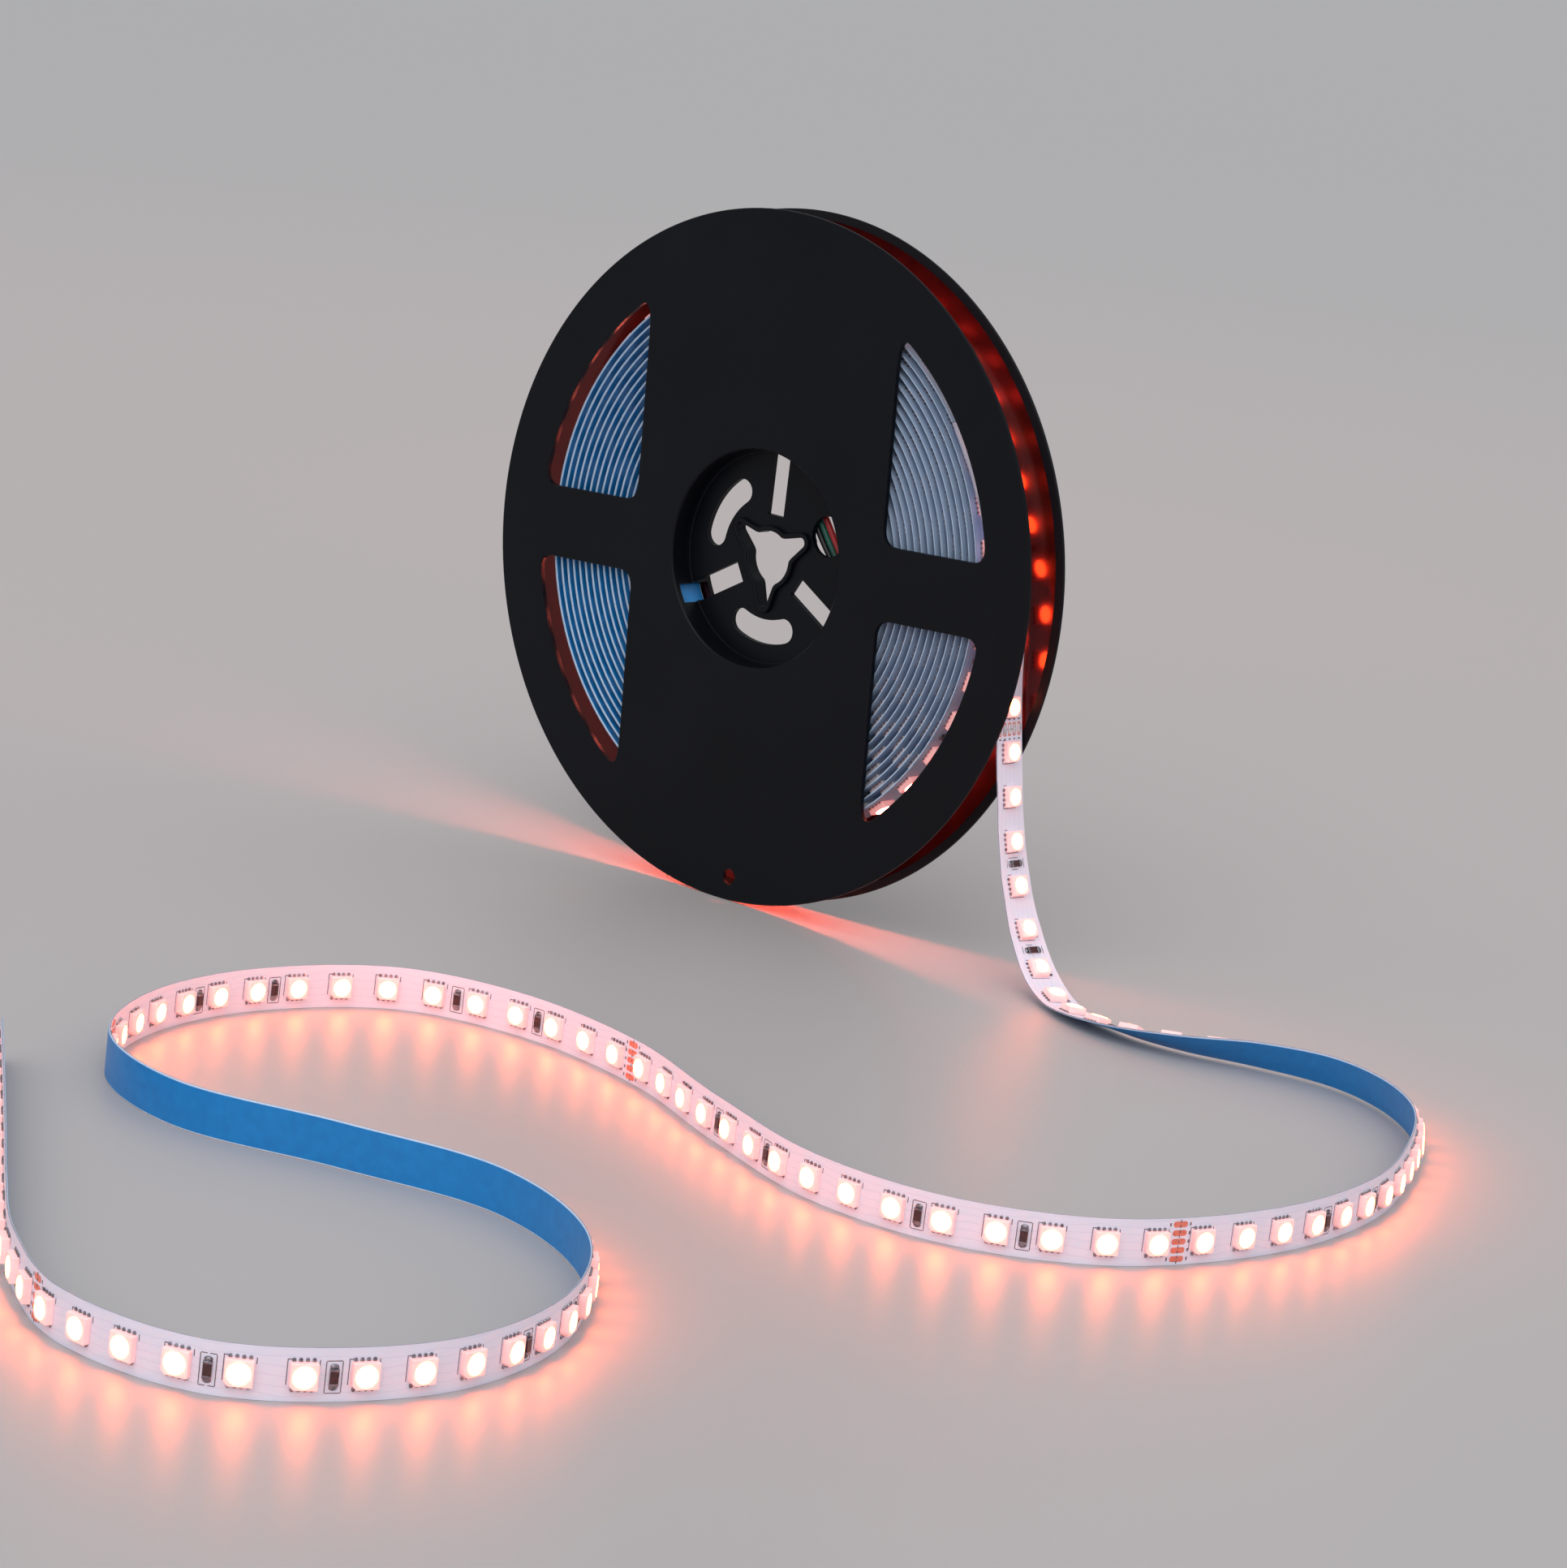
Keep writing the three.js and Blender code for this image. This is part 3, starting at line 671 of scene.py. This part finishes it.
# Parts of the tape, drawn flat about the middle of one LED, resistor or cut
def led_package():
    """A square housing with one corner cut."""
    cut_corner = 0.8
    eased = 0.14
    half = LED_SIZE / 2
    bm = bmesh.new()
    add_box(bm, (-half, -half, TAPE_FACE), (half, half, LED_TOP))
    corner = [
        edge for edge in bm.edges
        if all(vert.co.x > 0 and vert.co.y > 0 for vert in edge.verts)
    ]
    ease_edges(bm, corner, cut_corner)
    ease_edges(bm, bm.edges[:], eased)
    return as_mesh(bm)


def led_window():
    """A low round drop of silicone, which stands a little over the housing's top."""
    thickness = 0.14
    middle = LED_TOP + 0.02
    slope = 0.12
    bm = bmesh.new()
    bmesh.ops.create_cone(
        bm, cap_ends=True, segments=20, radius1=LENS_RADIUS, radius2=LENS_RADIUS - slope,
        depth=thickness, matrix=Matrix.Translation((0, 0, middle)),
    )
    return as_mesh(bm)


def led_joints():
    """Four solder joints on each side of the package."""
    pitch = 1.2
    size = (0.42, 0.5, 0.34)
    out = LED_SIZE / 2 + 0.25
    height = TAPE_FACE + 0.1
    bm = bmesh.new()
    for side in (-1, 1):
        for i in range(4):
            add_blob(bm, ((i - 1.5) * pitch, side * out, height), size)
    return as_mesh(bm)


def led_marks():
    """Printed corner lines beside the package."""
    line = PRINTED_LINE
    reach = LED_SIZE / 2 + 0.3
    short = 1.2
    gap = 0.9
    bm = bmesh.new()
    add_box(bm, (reach, -reach, TAPE_FACE), (reach + line, reach - gap, INK_TOP))
    add_box(bm, (reach - short, -reach - line, TAPE_FACE), (reach + line, -reach, INK_TOP))
    add_box(bm, (-reach - line, -reach, TAPE_FACE), (-reach, -reach + short, INK_TOP))
    return as_mesh(bm)


def between(side, near, far):
    """The lower and the higher of two distances on one side of the middle."""
    return sorted((side * near, side * far))


def resistor_body():
    """The chip itself, a little above the tape."""
    half_x = 0.8
    half_y = 1.15
    low = (-half_x, -half_y, TAPE_FACE + 0.04)
    bm = bmesh.new()
    add_box(bm, low, (half_x, half_y, TAPE_FACE + 0.6), bevel=0.06)
    return as_mesh(bm)


def resistor_ends():
    """A tinned cap on each end, and the solder that it stands in."""
    half_x = 0.84
    top = TAPE_FACE + 0.64
    solder = (0.86, 0.55, 0.36)
    bm = bmesh.new()
    for side in (-1, 1):
        low_y, high_y = between(side, 1.1, 1.65)
        add_box(bm, (-half_x, low_y, TAPE_FACE), (half_x, high_y, top), bevel=0.08)
        add_blob(bm, (0, side * 1.95, TAPE_FACE + 0.05), solder, detail=2)
    return as_mesh(bm)


def resistor_marks():
    """A frame printed round the resistor."""
    half_x = 1.42
    half_y = 2.9
    bm = bmesh.new()
    for side in (-1, 1):
        low_x, high_x = between(side, half_x, half_x + PRINTED_LINE)
        low_y, high_y = between(side, half_y, half_y + PRINTED_LINE)
        add_box(bm, (low_x, -half_y, TAPE_FACE), (high_x, half_y, INK_TOP))
        add_box(bm, (-half_x, low_y, TAPE_FACE), (half_x, high_y, INK_TOP))
    return as_mesh(bm)


def cut_pads():
    """Bare copper pads with round ends, across the tape where it can be cut."""
    half_x = 1.7
    half_y = 0.625
    corner = 0.55
    bm = bmesh.new()
    for y in PAD_PLACES:
        pad = add_box(bm, (-half_x, y - half_y, TAPE_FACE), (half_x, y + half_y, PAD_TOP))
        upright = dict.fromkeys(
            edge for vert in pad for edge in vert.link_edges
            if abs(edge.verts[0].co.z - edge.verts[1].co.z) > 0.01
        )
        ease_edges(bm, list(upright), corner, segments=3)
    return as_mesh(bm)


def cut_marks():
    """A dashed line over the pads, and a short bar that faces each pad on either side."""
    dash_pitch = 1.1
    dash_half_x = 0.1
    dash_half_y = 0.3
    bar_half_y = 0.35
    bm = bmesh.new()
    for i in range(9):
        y = (i - 4) * dash_pitch
        low = (-dash_half_x, y - dash_half_y, PAD_TOP)
        add_box(bm, low, (dash_half_x, y + dash_half_y, PAD_TOP + 0.04))
    for side in (-1, 1):
        low_x, high_x = between(side, 2.25, 2.6)
        for y in PAD_PLACES:
            low = (low_x, y - bar_half_y, TAPE_FACE)
            add_box(bm, low, (high_x, y + bar_half_y, INK_TOP))
    return as_mesh(bm)


def tinned_joints():
    """Solder over the pads where two lengths of tape are joined at the works."""
    bm = bmesh.new()
    for y in PAD_PLACES:
        add_blob(bm, (0, y, TAPE_FACE), (1.5, 0.68, 0.45), detail=2)
    return as_mesh(bm)


LED_PACKAGE = led_package()
LED_WINDOW = led_window()
LED_JOINTS = led_joints()
LED_MARKS = led_marks()


def resistors_between(first, last):
    """Steps along the tape that have a resistor, counted in LED pitches."""
    return [
        i + 1 for i in range(first, last)
        if (i - LEDS_BEFORE_FIRST_CUT) % LEDS_PER_CUT in RESISTOR_AFTER
    ]


def shifted(pattern):
    """A resistor's drawing moved to its place across the tape."""
    pattern.transform(Matrix.Translation((0, RESISTOR_SHIFT, 0)))
    return pattern


RESISTOR_BODY = shifted(resistor_body())
RESISTOR_ENDS = shifted(resistor_ends())
RESISTOR_MARKS = shifted(resistor_marks())
CUT_PADS = cut_pads()
CUT_MARKS = cut_marks()
TINNED_JOINTS = tinned_joints()


# The loose tape
def loose_tape():
    """The board with all that is soldered to it and printed on it, and its back."""
    board, glue, film = tape_layers(TAIL_LENGTH, LED_PITCH / 4)
    tape = piece("loose_tape", laid(board, TAIL), [MASK, BOARD_EDGE])
    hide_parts("tail_strip")

    leds = [(i + 0.5) * LED_PITCH for i in range(TAIL_LEDS)]
    resistors = [place * LED_PITCH for place in resistors_between(0, TAIL_LEDS)]
    cuts = [
        (LEDS_BEFORE_FIRST_CUT + LEDS_PER_CUT * i) * LED_PITCH for i in range(TAIL_CUTS)
    ]
    marks = joined(
        repeated(LED_MARKS, leds), repeated(RESISTOR_MARKS, resistors),
        repeated(CUT_MARKS, cuts),
    )
    solder = joined(repeated(LED_JOINTS, leds), repeated(RESISTOR_ENDS, resistors))
    for name, drawing, material in [
        ("loose_tape_housings", repeated(LED_PACKAGE, leds), led_housing(lit=True)),
        ("loose_tape_lenses", repeated(LED_WINDOW, leds), led_lens(LOOSE_LIGHT)),
        ("loose_tape_solder", solder, SOLDER),
        ("loose_tape_works_joint", repeated(TINNED_JOINTS, cuts[:1]), TIN),
        ("loose_tape_resistors", repeated(RESISTOR_BODY, resistors), CERAMIC),
        ("loose_tape_marks", marks, INK),
        ("loose_tape_pads", repeated(CUT_PADS, cuts), COPPER_PAINTED_RED),
    ]:
        piece(name, laid(drawing, TAIL), [material])

    piece("loose_tape_adhesive", laid(glue, TAIL), [ADHESIVE])
    liner = piece("loose_tape_liner", laid(film, TAIL), [FILM])
    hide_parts("tail_liner")


loose_tape()


# The roll of tape on the drum
def wound_tape():
    """Every turn has its LEDs and resistors, and those of the outermost turn are lit."""
    board, glue, film = tape_layers(ROLL.length, LED_PITCH / 3)
    # The roll's mask is the darker blue-grey copy: painted shade between the turns
    faces = [SHADED_WOUND_MASK, LIT_WOUND_EDGE]
    # Its edge is the lighter, bluer copy: painted highlight on the lit turn edges
    tape = piece("wound_tape", laid(board, ROLL), faces)
    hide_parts("strip_roll")
    piece("wound_tape_adhesive", laid(glue, ROLL), [ADHESIVE])
    # The roll's film is the darker copy: painted shade between the turns
    piece("wound_tape_liner", laid(film, ROLL), [SHADED_WOUND_FILM])

    count = int(ROLL.length / LED_PITCH)
    lit_count = int(2 * math.pi * ROLL_OUTER / LED_PITCH)
    leds = [ROLL.length - (i + 0.5) * LED_PITCH for i in range(count)]
    resistors = [
        ROLL.length + place * LED_PITCH for place in resistors_between(-count + 1, 0)
    ]
    for name, places, lit in [
        ("wound_tape_outer", leds[:lit_count], True),
        ("wound_tape_inner", leds[lit_count:], False),
    ]:
        housings = laid(repeated(LED_PACKAGE, places), ROLL)
        piece(name + "_housings", housings, [led_housing(lit)])
        lenses = laid(repeated(LED_WINDOW, places), ROLL)
        piece(name + "_lenses", lenses, [led_lens(WOUND_LIGHT if lit else None)])
    solder = joined(repeated(LED_JOINTS, leds), repeated(RESISTOR_ENDS, resistors))
    piece("wound_tape_solder", laid(solder, ROLL), [SOLDER])
    bodies = laid(repeated(RESISTOR_BODY, resistors), ROLL)
    piece("wound_tape_resistors", bodies, [CERAMIC])


wound_tape()


# The inner end of the tape in the hub, and the leads soldered to it
def inner_end():
    board, glue, film = tape_layers(INNER_END.length, 2.0)
    tape = piece("inner_end_tape", laid(board, INNER_END), [MASK, BOARD_EDGE])
    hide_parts("inner_end_strip")
    piece("inner_end_adhesive", laid(glue, INNER_END), [ADHESIVE])
    liner = piece("inner_end_film", laid(film, INNER_END), [FILM])
    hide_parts("inner_end_liner")


def rounded_lead(name, low, high):
    """The part's six-sided lead, smoothed round and swollen to the thickness it loses by that."""
    bm = bmesh.new()
    bm.from_mesh(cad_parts["lead_" + name].data)
    bmesh.ops.remove_doubles(bm, verts=bm.verts, dist=0.00001)
    bmesh.ops.scale(bm, vec=(1 / MM, 1 / MM, 1 / MM), verts=bm.verts)
    bmesh.ops.join_triangles(
        bm, faces=bm.faces, angle_face_threshold=1.0, angle_shape_threshold=3.1
    )
    bm.normal_update()
    for vert in bm.verts:
        vert.co += vert.normal * LEAD_SWELL
    vinyl = insulation(name + "_vinyl", low, high)
    made = piece(name + "_lead", bm, [vinyl], smooth_angle=80)
    soften = made.modifiers.new("round", "SUBSURF")
    soften.levels = 2
    soften.render_levels = 2
    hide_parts("lead_" + name)


inner_end()
for lead_name, dark, light in [
    ("black", "0c0c0e", "151518"),
    ("green", "06463a", "0a5a4a"),
    ("red", "8c0c14", "a8141c"),
    ("white", "c8c8c4", "dcdcd8"),
    ("blue", "163f86", "2050a4"),
]:
    rounded_lead(lead_name, dark, light)


# The reel's halves are drawn facing the viewer in X and Y, with Z towards the viewer, and then
# stood up with the front face towards -Y
def arc(radius, start, end, steps, centre=(0.0, 0.0)):
    """Points on an arc, angles in degrees."""
    angles = [math.radians(start + (end - start) * i / steps) for i in range(steps + 1)]
    return [
        Vector((centre[0] + radius * math.cos(a), centre[1] + radius * math.sin(a)))
        for a in angles
    ]


def polar(radius, angle):
    """The point at a radius and an angle in degrees."""
    turn = math.radians(angle)
    return Vector((radius * math.cos(turn), radius * math.sin(turn)))


def circle(radius, steps=192, centre=(0.0, 0.0)):
    return arc(radius, 0, 360 - 360 / steps, steps - 1, centre)


def corner_curve(start, corner, end, steps=6):
    """A rounded corner between two places on its sides."""
    places = []
    for i in range(steps + 1):
        t = i / steps
        places.append(start * (1 - t) ** 2 + corner * 2 * t * (1 - t) + end * t**2)
    return places


def turned_points(points, angle, flip_x=1, flip_y=1):
    """Points mirrored in one or both axes and then turned by an angle in degrees."""
    cos = math.cos(math.radians(angle))
    sin = math.sin(math.radians(angle))
    mirrored = [(point.x * flip_x, point.y * flip_y) for point in points]
    return [Vector((x * cos - y * sin, x * sin + y * cos)) for x, y in mirrored]


def window_outline():
    """The window in the upper right quarter of a flange."""
    arc_low = math.asin(SPOKE_HALF_WIDTH / WINDOW_OUTER)
    arc_high = math.acos(WINDOW_INNER_X / WINDOW_OUTER)
    trim = WINDOW_CORNER / WINDOW_OUTER
    low_x = WINDOW_OUTER * math.cos(arc_low)
    high_y = WINDOW_OUTER * math.sin(arc_high)
    outer = arc(
        WINDOW_OUTER, math.degrees(arc_low + trim), math.degrees(arc_high - trim), 32
    )
    inner_low = Vector((WINDOW_INNER_X, SPOKE_HALF_WIDTH))
    outer_low = Vector((low_x, SPOKE_HALF_WIDTH))
    tip = Vector((WINDOW_INNER_X, high_y))
    along = Vector((WINDOW_CORNER, 0))
    up = Vector((0, WINDOW_CORNER))
    outline = corner_curve(outer_low - along, outer_low, outer[0])
    outline += outer[1:-1]
    outline += corner_curve(outer[-1], tip, tip - up * 2)
    outline += corner_curve(inner_low + up, inner_low, inner_low + along)
    return outline


def kidney_outline(angle):
    """A curved slot with round ends."""
    middle = (KIDNEY_INNER + KIDNEY_OUTER) / 2
    end_radius = (KIDNEY_OUTER - KIDNEY_INNER) / 2
    low = angle - KIDNEY_HALF_ANGLE
    high = angle + KIDNEY_HALF_ANGLE
    outline = arc(KIDNEY_OUTER, low, high, 16)
    high_end = polar(middle, high)
    outline += arc(end_radius, high, high + 180, 12, high_end)[1:-1]
    outline += arc(KIDNEY_INNER, high, low, 16)
    low_end = polar(middle, low)
    outline += arc(end_radius, low + 180, low + 360, 12, low_end)[1:-1]
    return outline


def slot_outline(angle):
    """A straight slot that points outward."""
    half = SLOT_WIDTH / 2
    corners = [
        Vector((SLOT_INNER, -half)), Vector((SLOT_OUTER, -half)),
        Vector((SLOT_OUTER, half)), Vector((SLOT_INNER, half)),
    ]
    return turned_points(corners, angle)


def bore_outline(growth=0.0):
    """The round bore with its three keyways, which narrow outward, grown on every side."""
    radius = BORE_RADIUS + growth
    tip_half = KEYWAY_TIP_WIDTH / 2 + growth
    root_half = KEYWAY_ROOT_WIDTH / 2 + growth
    taper = (root_half - tip_half) / (KEYWAY_REACH - BORE_RADIUS / 2)
    side_at_axis = tip_half + taper * KEYWAY_REACH
    square = 1 + taper**2
    reach = (side_at_axis * taper) ** 2 - square * (side_at_axis**2 - radius**2)
    meet_x = (side_at_axis * taper + math.sqrt(reach)) / square
    meet = Vector((meet_x, side_at_axis - taper * meet_x))
    meet_angle = math.degrees(math.atan2(meet.y, meet.x))
    ease = 6
    eased_length = 1.2
    on_side = meet + Vector((1, -taper)) * eased_length
    lean = math.degrees(math.atan(taper))
    outline = []
    for angle in KEYWAY_ANGLES:
        tip = polar(KEYWAY_REACH, angle)
        outline += arc(tip_half, angle - 90 + lean, angle + 90 - lean, 10, tip)
        corner = turned_points([on_side, meet], angle)
        leaving = arc(radius, angle + meet_angle + ease, angle + 120 - meet_angle - ease, 10)
        outline += corner_curve(corner[0], corner[1], leaving[0], 4)
        mirrored = turned_points([on_side, meet], angle + 120, flip_y=-1)
        outline += leaving[1:-1] + corner_curve(leaving[-1], mirrored[1], mirrored[0], 4)
    return outline


def open_web_outline():
    """The web's edge, with the slot that runs out through it and the wall of the well."""
    edge = WELL_RADIUS + WELL_WALL / 2
    half_angle = math.degrees(math.asin(SLOT_WIDTH / 2 / edge))
    start = OPEN_SLOT_ANGLE + half_angle
    bottom = [Vector((SLOT_INNER, -SLOT_WIDTH / 2)), Vector((SLOT_INNER, SLOT_WIDTH / 2))]
    outline = arc(edge, start, start + 360 - 2 * half_angle, 126)
    return outline + turned_points(bottom, OPEN_SLOT_ANGLE)


def draw_outline(bm, points):
    """A closed line of edges."""
    verts = [bm.verts.new((point.x, point.y, 0)) for point in points]
    for before, after in zip(verts, verts[1:] + verts[:1]):
        bm.edges.new((before, after))


def plate(outer, holes, low, high, bevel, sharp_from=math.inf):
    """A flat plate with holes, its edges eased as a mould leaves them. Edges that lie farther
    out than a radius can be left sharp."""
    bm = bmesh.new()
    for outline in [outer, *holes]:
        draw_outline(bm, outline)
    bmesh.ops.triangle_fill(bm, use_beauty=True, use_dissolve=True, edges=bm.edges[:])
    bmesh.ops.translate(bm, vec=(0, 0, low), verts=bm.verts)
    grown = bmesh.ops.extrude_face_region(bm, geom=bm.faces[:], use_keep_orig=True)["geom"]
    raised = [item for item in grown if isinstance(item, bmesh.types.BMVert)]
    bmesh.ops.translate(bm, vec=(0, 0, high - low), verts=raised)
    bmesh.ops.recalc_face_normals(bm, faces=bm.faces)
    if bevel:
        sharp = math.radians(60)
        rims = [
            edge for edge in bm.edges
            if len(edge.link_faces) == 2 and edge.calc_face_angle() > sharp
            and abs(edge.verts[0].co.z - edge.verts[1].co.z) < 0.01
            and edge.verts[0].co.xy.length < sharp_from
        ]
        ease_edges(bm, rims, bevel, segments=2)
    return bm


def ring(profile, steps=192):
    """A ring turned from a closed profile of radius and height."""
    bm = bmesh.new()
    verts = [bm.verts.new((radius, 0, height)) for radius, height in profile]
    edges = [bm.edges.new(pair) for pair in zip(verts, verts[1:] + verts[:1])]
    bmesh.ops.spin(
        bm, geom=verts + edges, cent=(0, 0, 0), axis=(0, 0, 1), angle=2 * math.pi,
        steps=steps, use_merge=True,
    )
    bmesh.ops.remove_doubles(bm, verts=bm.verts, dist=0.0005)
    bmesh.ops.recalc_face_normals(bm, faces=bm.faces)
    return bm


def wall_with_gaps(radius, wall, height, gaps, bevel=0.0):
    """A round wall as the stretches between its gaps, which are pairs of angles in order."""
    starts = [gap[1] for gap in gaps]
    ends = [gap[0] for gap in gaps[1:]] + [gaps[0][0] + 360]
    stretches = []
    for start, end in zip(starts, ends):
        steps = max(4, round((end - start) / 2))
        outline = arc(radius, start, end, steps) + arc(radius - wall, end, start, steps)
        stretches.append(plate(outline, [], 0, height, bevel))
    return joined(*stretches)


def stood_up(bm, side):
    """Stands a half up at the reel's place. The front half is side 1, and the rear one -1."""
    turn = Matrix(((1, 0, 0, 0), (0, 0, -side, 0), (0, 1, 0, REEL_CENTRE), (0, 0, 0, 1)))
    bmesh.ops.transform(bm, matrix=turn, verts=bm.verts)
    bmesh.ops.recalc_face_normals(bm, faces=bm.faces)
    return bm


def flange(side):
    """The flat disc with its four windows, and its rim with a chamfer that lets the tape in."""
    windows = [
        turned_points(window_outline(), WINDOW_TURN, flip_x, flip_y)
        for flip_x in (-1, 1) for flip_y in (-1, 1)
    ]
    holes = [circle(WELL_RADIUS + COLLAR_OVERLAP, 128), *windows]
    if side == 1:
        place = polar(THREAD_HOLE_DISTANCE, THREAD_HOLE_ANGLE)
        holes.append(circle(THREAD_HOLE_RADIUS, 32, place))
    eased = 0.22
    rim_start = REEL_RADIUS - RIM_CHAMFER_WIDTH
    disc = plate(
        circle(rim_start), holes, PLATE_INNER, PLATE_OUTER, eased, sharp_from=rim_start - 0.1
    )
    chamfered = PLATE_INNER + RIM_CHAMFER_DEPTH
    rim = ring([
        (rim_start, PLATE_INNER),
        (REEL_RADIUS - 0.15, chamfered),
        (REEL_RADIUS, chamfered + 0.15),
        (REEL_RADIUS, PLATE_OUTER - 0.3),
        (REEL_RADIUS - 0.1, PLATE_OUTER - 0.1),
        (REEL_RADIUS - 0.3, PLATE_OUTER),
        (rim_start, PLATE_OUTER),
    ])
    return joined(disc, rim)


def hub(side):
    """The well in the middle: its web with the bore and the other openings, and its wall."""
    lead_hole = polar(LEAD_HOLE_DISTANCE, LEAD_HOLE_ANGLE)
    cuts = [
        bore_outline(), circle(LEAD_HOLE_RADIUS, 48, lead_hole),
        *(kidney_outline(angle) for angle in KIDNEY_ANGLES),
        *(slot_outline(angle) for angle in SLOT_ANGLES),
    ]
    web_eased = 0.12
    web = plate(open_web_outline(), cuts, 0, WEB_THICKNESS, web_eased)
    rim_eased = 0.35
    rim_bottom = WEB_THICKNESS - 0.1
    bore_rim = plate(
        bore_outline(BORE_RIM_WIDTH), cuts[:1], rim_bottom, BORE_RIM_TOP, rim_eased
    )
    outside = WELL_RADIUS + WELL_WALL
    half_angle = math.degrees(math.asin(SLOT_WIDTH / 2 / outside))
    gaps = [(OPEN_SLOT_ANGLE - half_angle, OPEN_SLOT_ANGLE + half_angle)]
    if side == -1:
        gaps.append(LEAD_NOTCH_ANGLES)
    wall = wall_with_gaps(outside, WELL_WALL, PLATE_INNER + INTO_PLATE, gaps)
    collar_bottom = PLATE_INNER - 0.2
    collar_eased = 0.35
    collar = ring([
        (WELL_RADIUS, collar_bottom),
        (outside, collar_bottom),
        (outside, PLATE_OUTER - 0.02),
        (WELL_RADIUS + collar_eased, PLATE_OUTER),
        (WELL_RADIUS, PLATE_OUTER - collar_eased),
    ])
    foot_outside = WELL_RADIUS + 0.3
    foot_width = 1.4
    foot_height = WEB_THICKNESS + 0.6
    foot = wall_with_gaps(foot_outside, foot_width, foot_height, gaps[:1], bevel=0.25)
    return joined(web, bore_rim, wall, collar, foot)


def reel_half(name, side):
    """One half of the reel, whose inner faces are polished and carry a painted red glow and
    painted red reflection.
    """
    drum_height = PLATE_INNER + INTO_PLATE
    drum = wall_with_gaps(DRUM_RADIUS, DRUM_WALL, drum_height, [DRUM_SLOT_ANGLES])
    bosses = [
        plate(circle(PEG_BOSS_RADIUS, 32, polar(PEG_CIRCLE, angle)), [], 0, drum_height, 0)
        for angle in PEG_ANGLES
    ]
    half = stood_up(joined(flange(side), hub(side), drum, *bosses), side)
    # Faces inside the flanges that face the tape get the polished plastic with the painted red
    # glow
    for face in half.faces:
        inner = abs(face.calc_center_median().y) < PLATE_INNER + RIM_CHAMFER_DEPTH
        faces_tape = face.normal.y * side > 0.98
        if inner and faces_tape:
            face.material_index = 1
    made = piece(name, half, [PLASTIC, POLISHED_PAINTED_GLOW], smooth_angle=20)
    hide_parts(name.replace("reel_", "") + "_half")


reel_half("reel_front", 1)
reel_half("reel_rear", -1)


# Floor and light
def floor():
    """A broad plain floor with a painted warm glow of the LEDs' light near the lit tape."""
    half_size = 12
    bm = bmesh.new()
    bmesh.ops.create_grid(bm, x_segments=1, y_segments=1, size=half_size)
    mesh = bpy.data.meshes.new("floor")
    bm.to_mesh(mesh)
    bm.free()
    made, tree, shader = new_material("pale_floor", Roughness=0.45, Specular_IOR_Level=0.7)
    place = node(tree, "ShaderNodeTexCoord").outputs["Object"]
    near = node(
        tree, "ShaderNodeMapping",
        Vector=place, Location=(0.25, -0.35, 0), Scale=(0.7, 0.7, 0.7),
    )
    glow = node(
        tree, "ShaderNodeTexGradient", {"gradient_type": "SPHERICAL"}, Vector=near.outputs[0]
    )
    # Painted warm glow of the LED light, fading outward from a spot by the reel
    tone = ramp(tree, glow.outputs["Fac"], [(0.0, "b1b1b2"), (1.0, "bdb4b3")])
    tree.links.new(tone, shader.inputs["Base Color"])
    mesh.materials.append(made)
    ground = bpy.data.objects.new("floor", mesh)
    bpy.context.scene.collection.objects.link(ground)


def studio():
    """Even light from all round, and a broad soft lamp high at the front right. The lens and
    what mirrors see the same pale grey as the floor."""
    world = bpy.data.worlds.new("studio")
    bpy.context.scene.world = world
    world.use_nodes = True
    tree = world.node_tree
    light = tree.nodes["Background"]
    light.inputs["Color"].default_value = colour("e6e6e8")
    light.inputs["Strength"].default_value = 0.95
    seen = node(tree, "ShaderNodeBackground", Color=colour("b1b1b2"))
    path = node(tree, "ShaderNodeLightPath").outputs
    direct = node(
        tree, "ShaderNodeMath", {"operation": "MAXIMUM"},
        n0=path["Is Camera Ray"], n1=path["Is Glossy Ray"],
    )
    mixed = node(
        tree, "ShaderNodeMixShader",
        n0=direct.outputs[0], n1=light.outputs[0], n2=seen.outputs[0],
    )
    tree.links.new(mixed.outputs[0], tree.nodes["World Output"].inputs["Surface"])

    lamp = bpy.data.objects.new("soft_key", bpy.data.lights.new("soft_key", "SUN"))
    bpy.context.scene.collection.objects.link(lamp)
    lamp.data.energy = 1.1
    lamp.data.angle = math.radians(60)
    lamp.rotation_mode = "QUATERNION"
    lamp.rotation_quaternion = Vector((-0.45, 0.75, -0.85)).to_track_quat("-Z", "Y")


floor()
studio()

bpy.context.scene.view_settings.view_transform = "Standard"
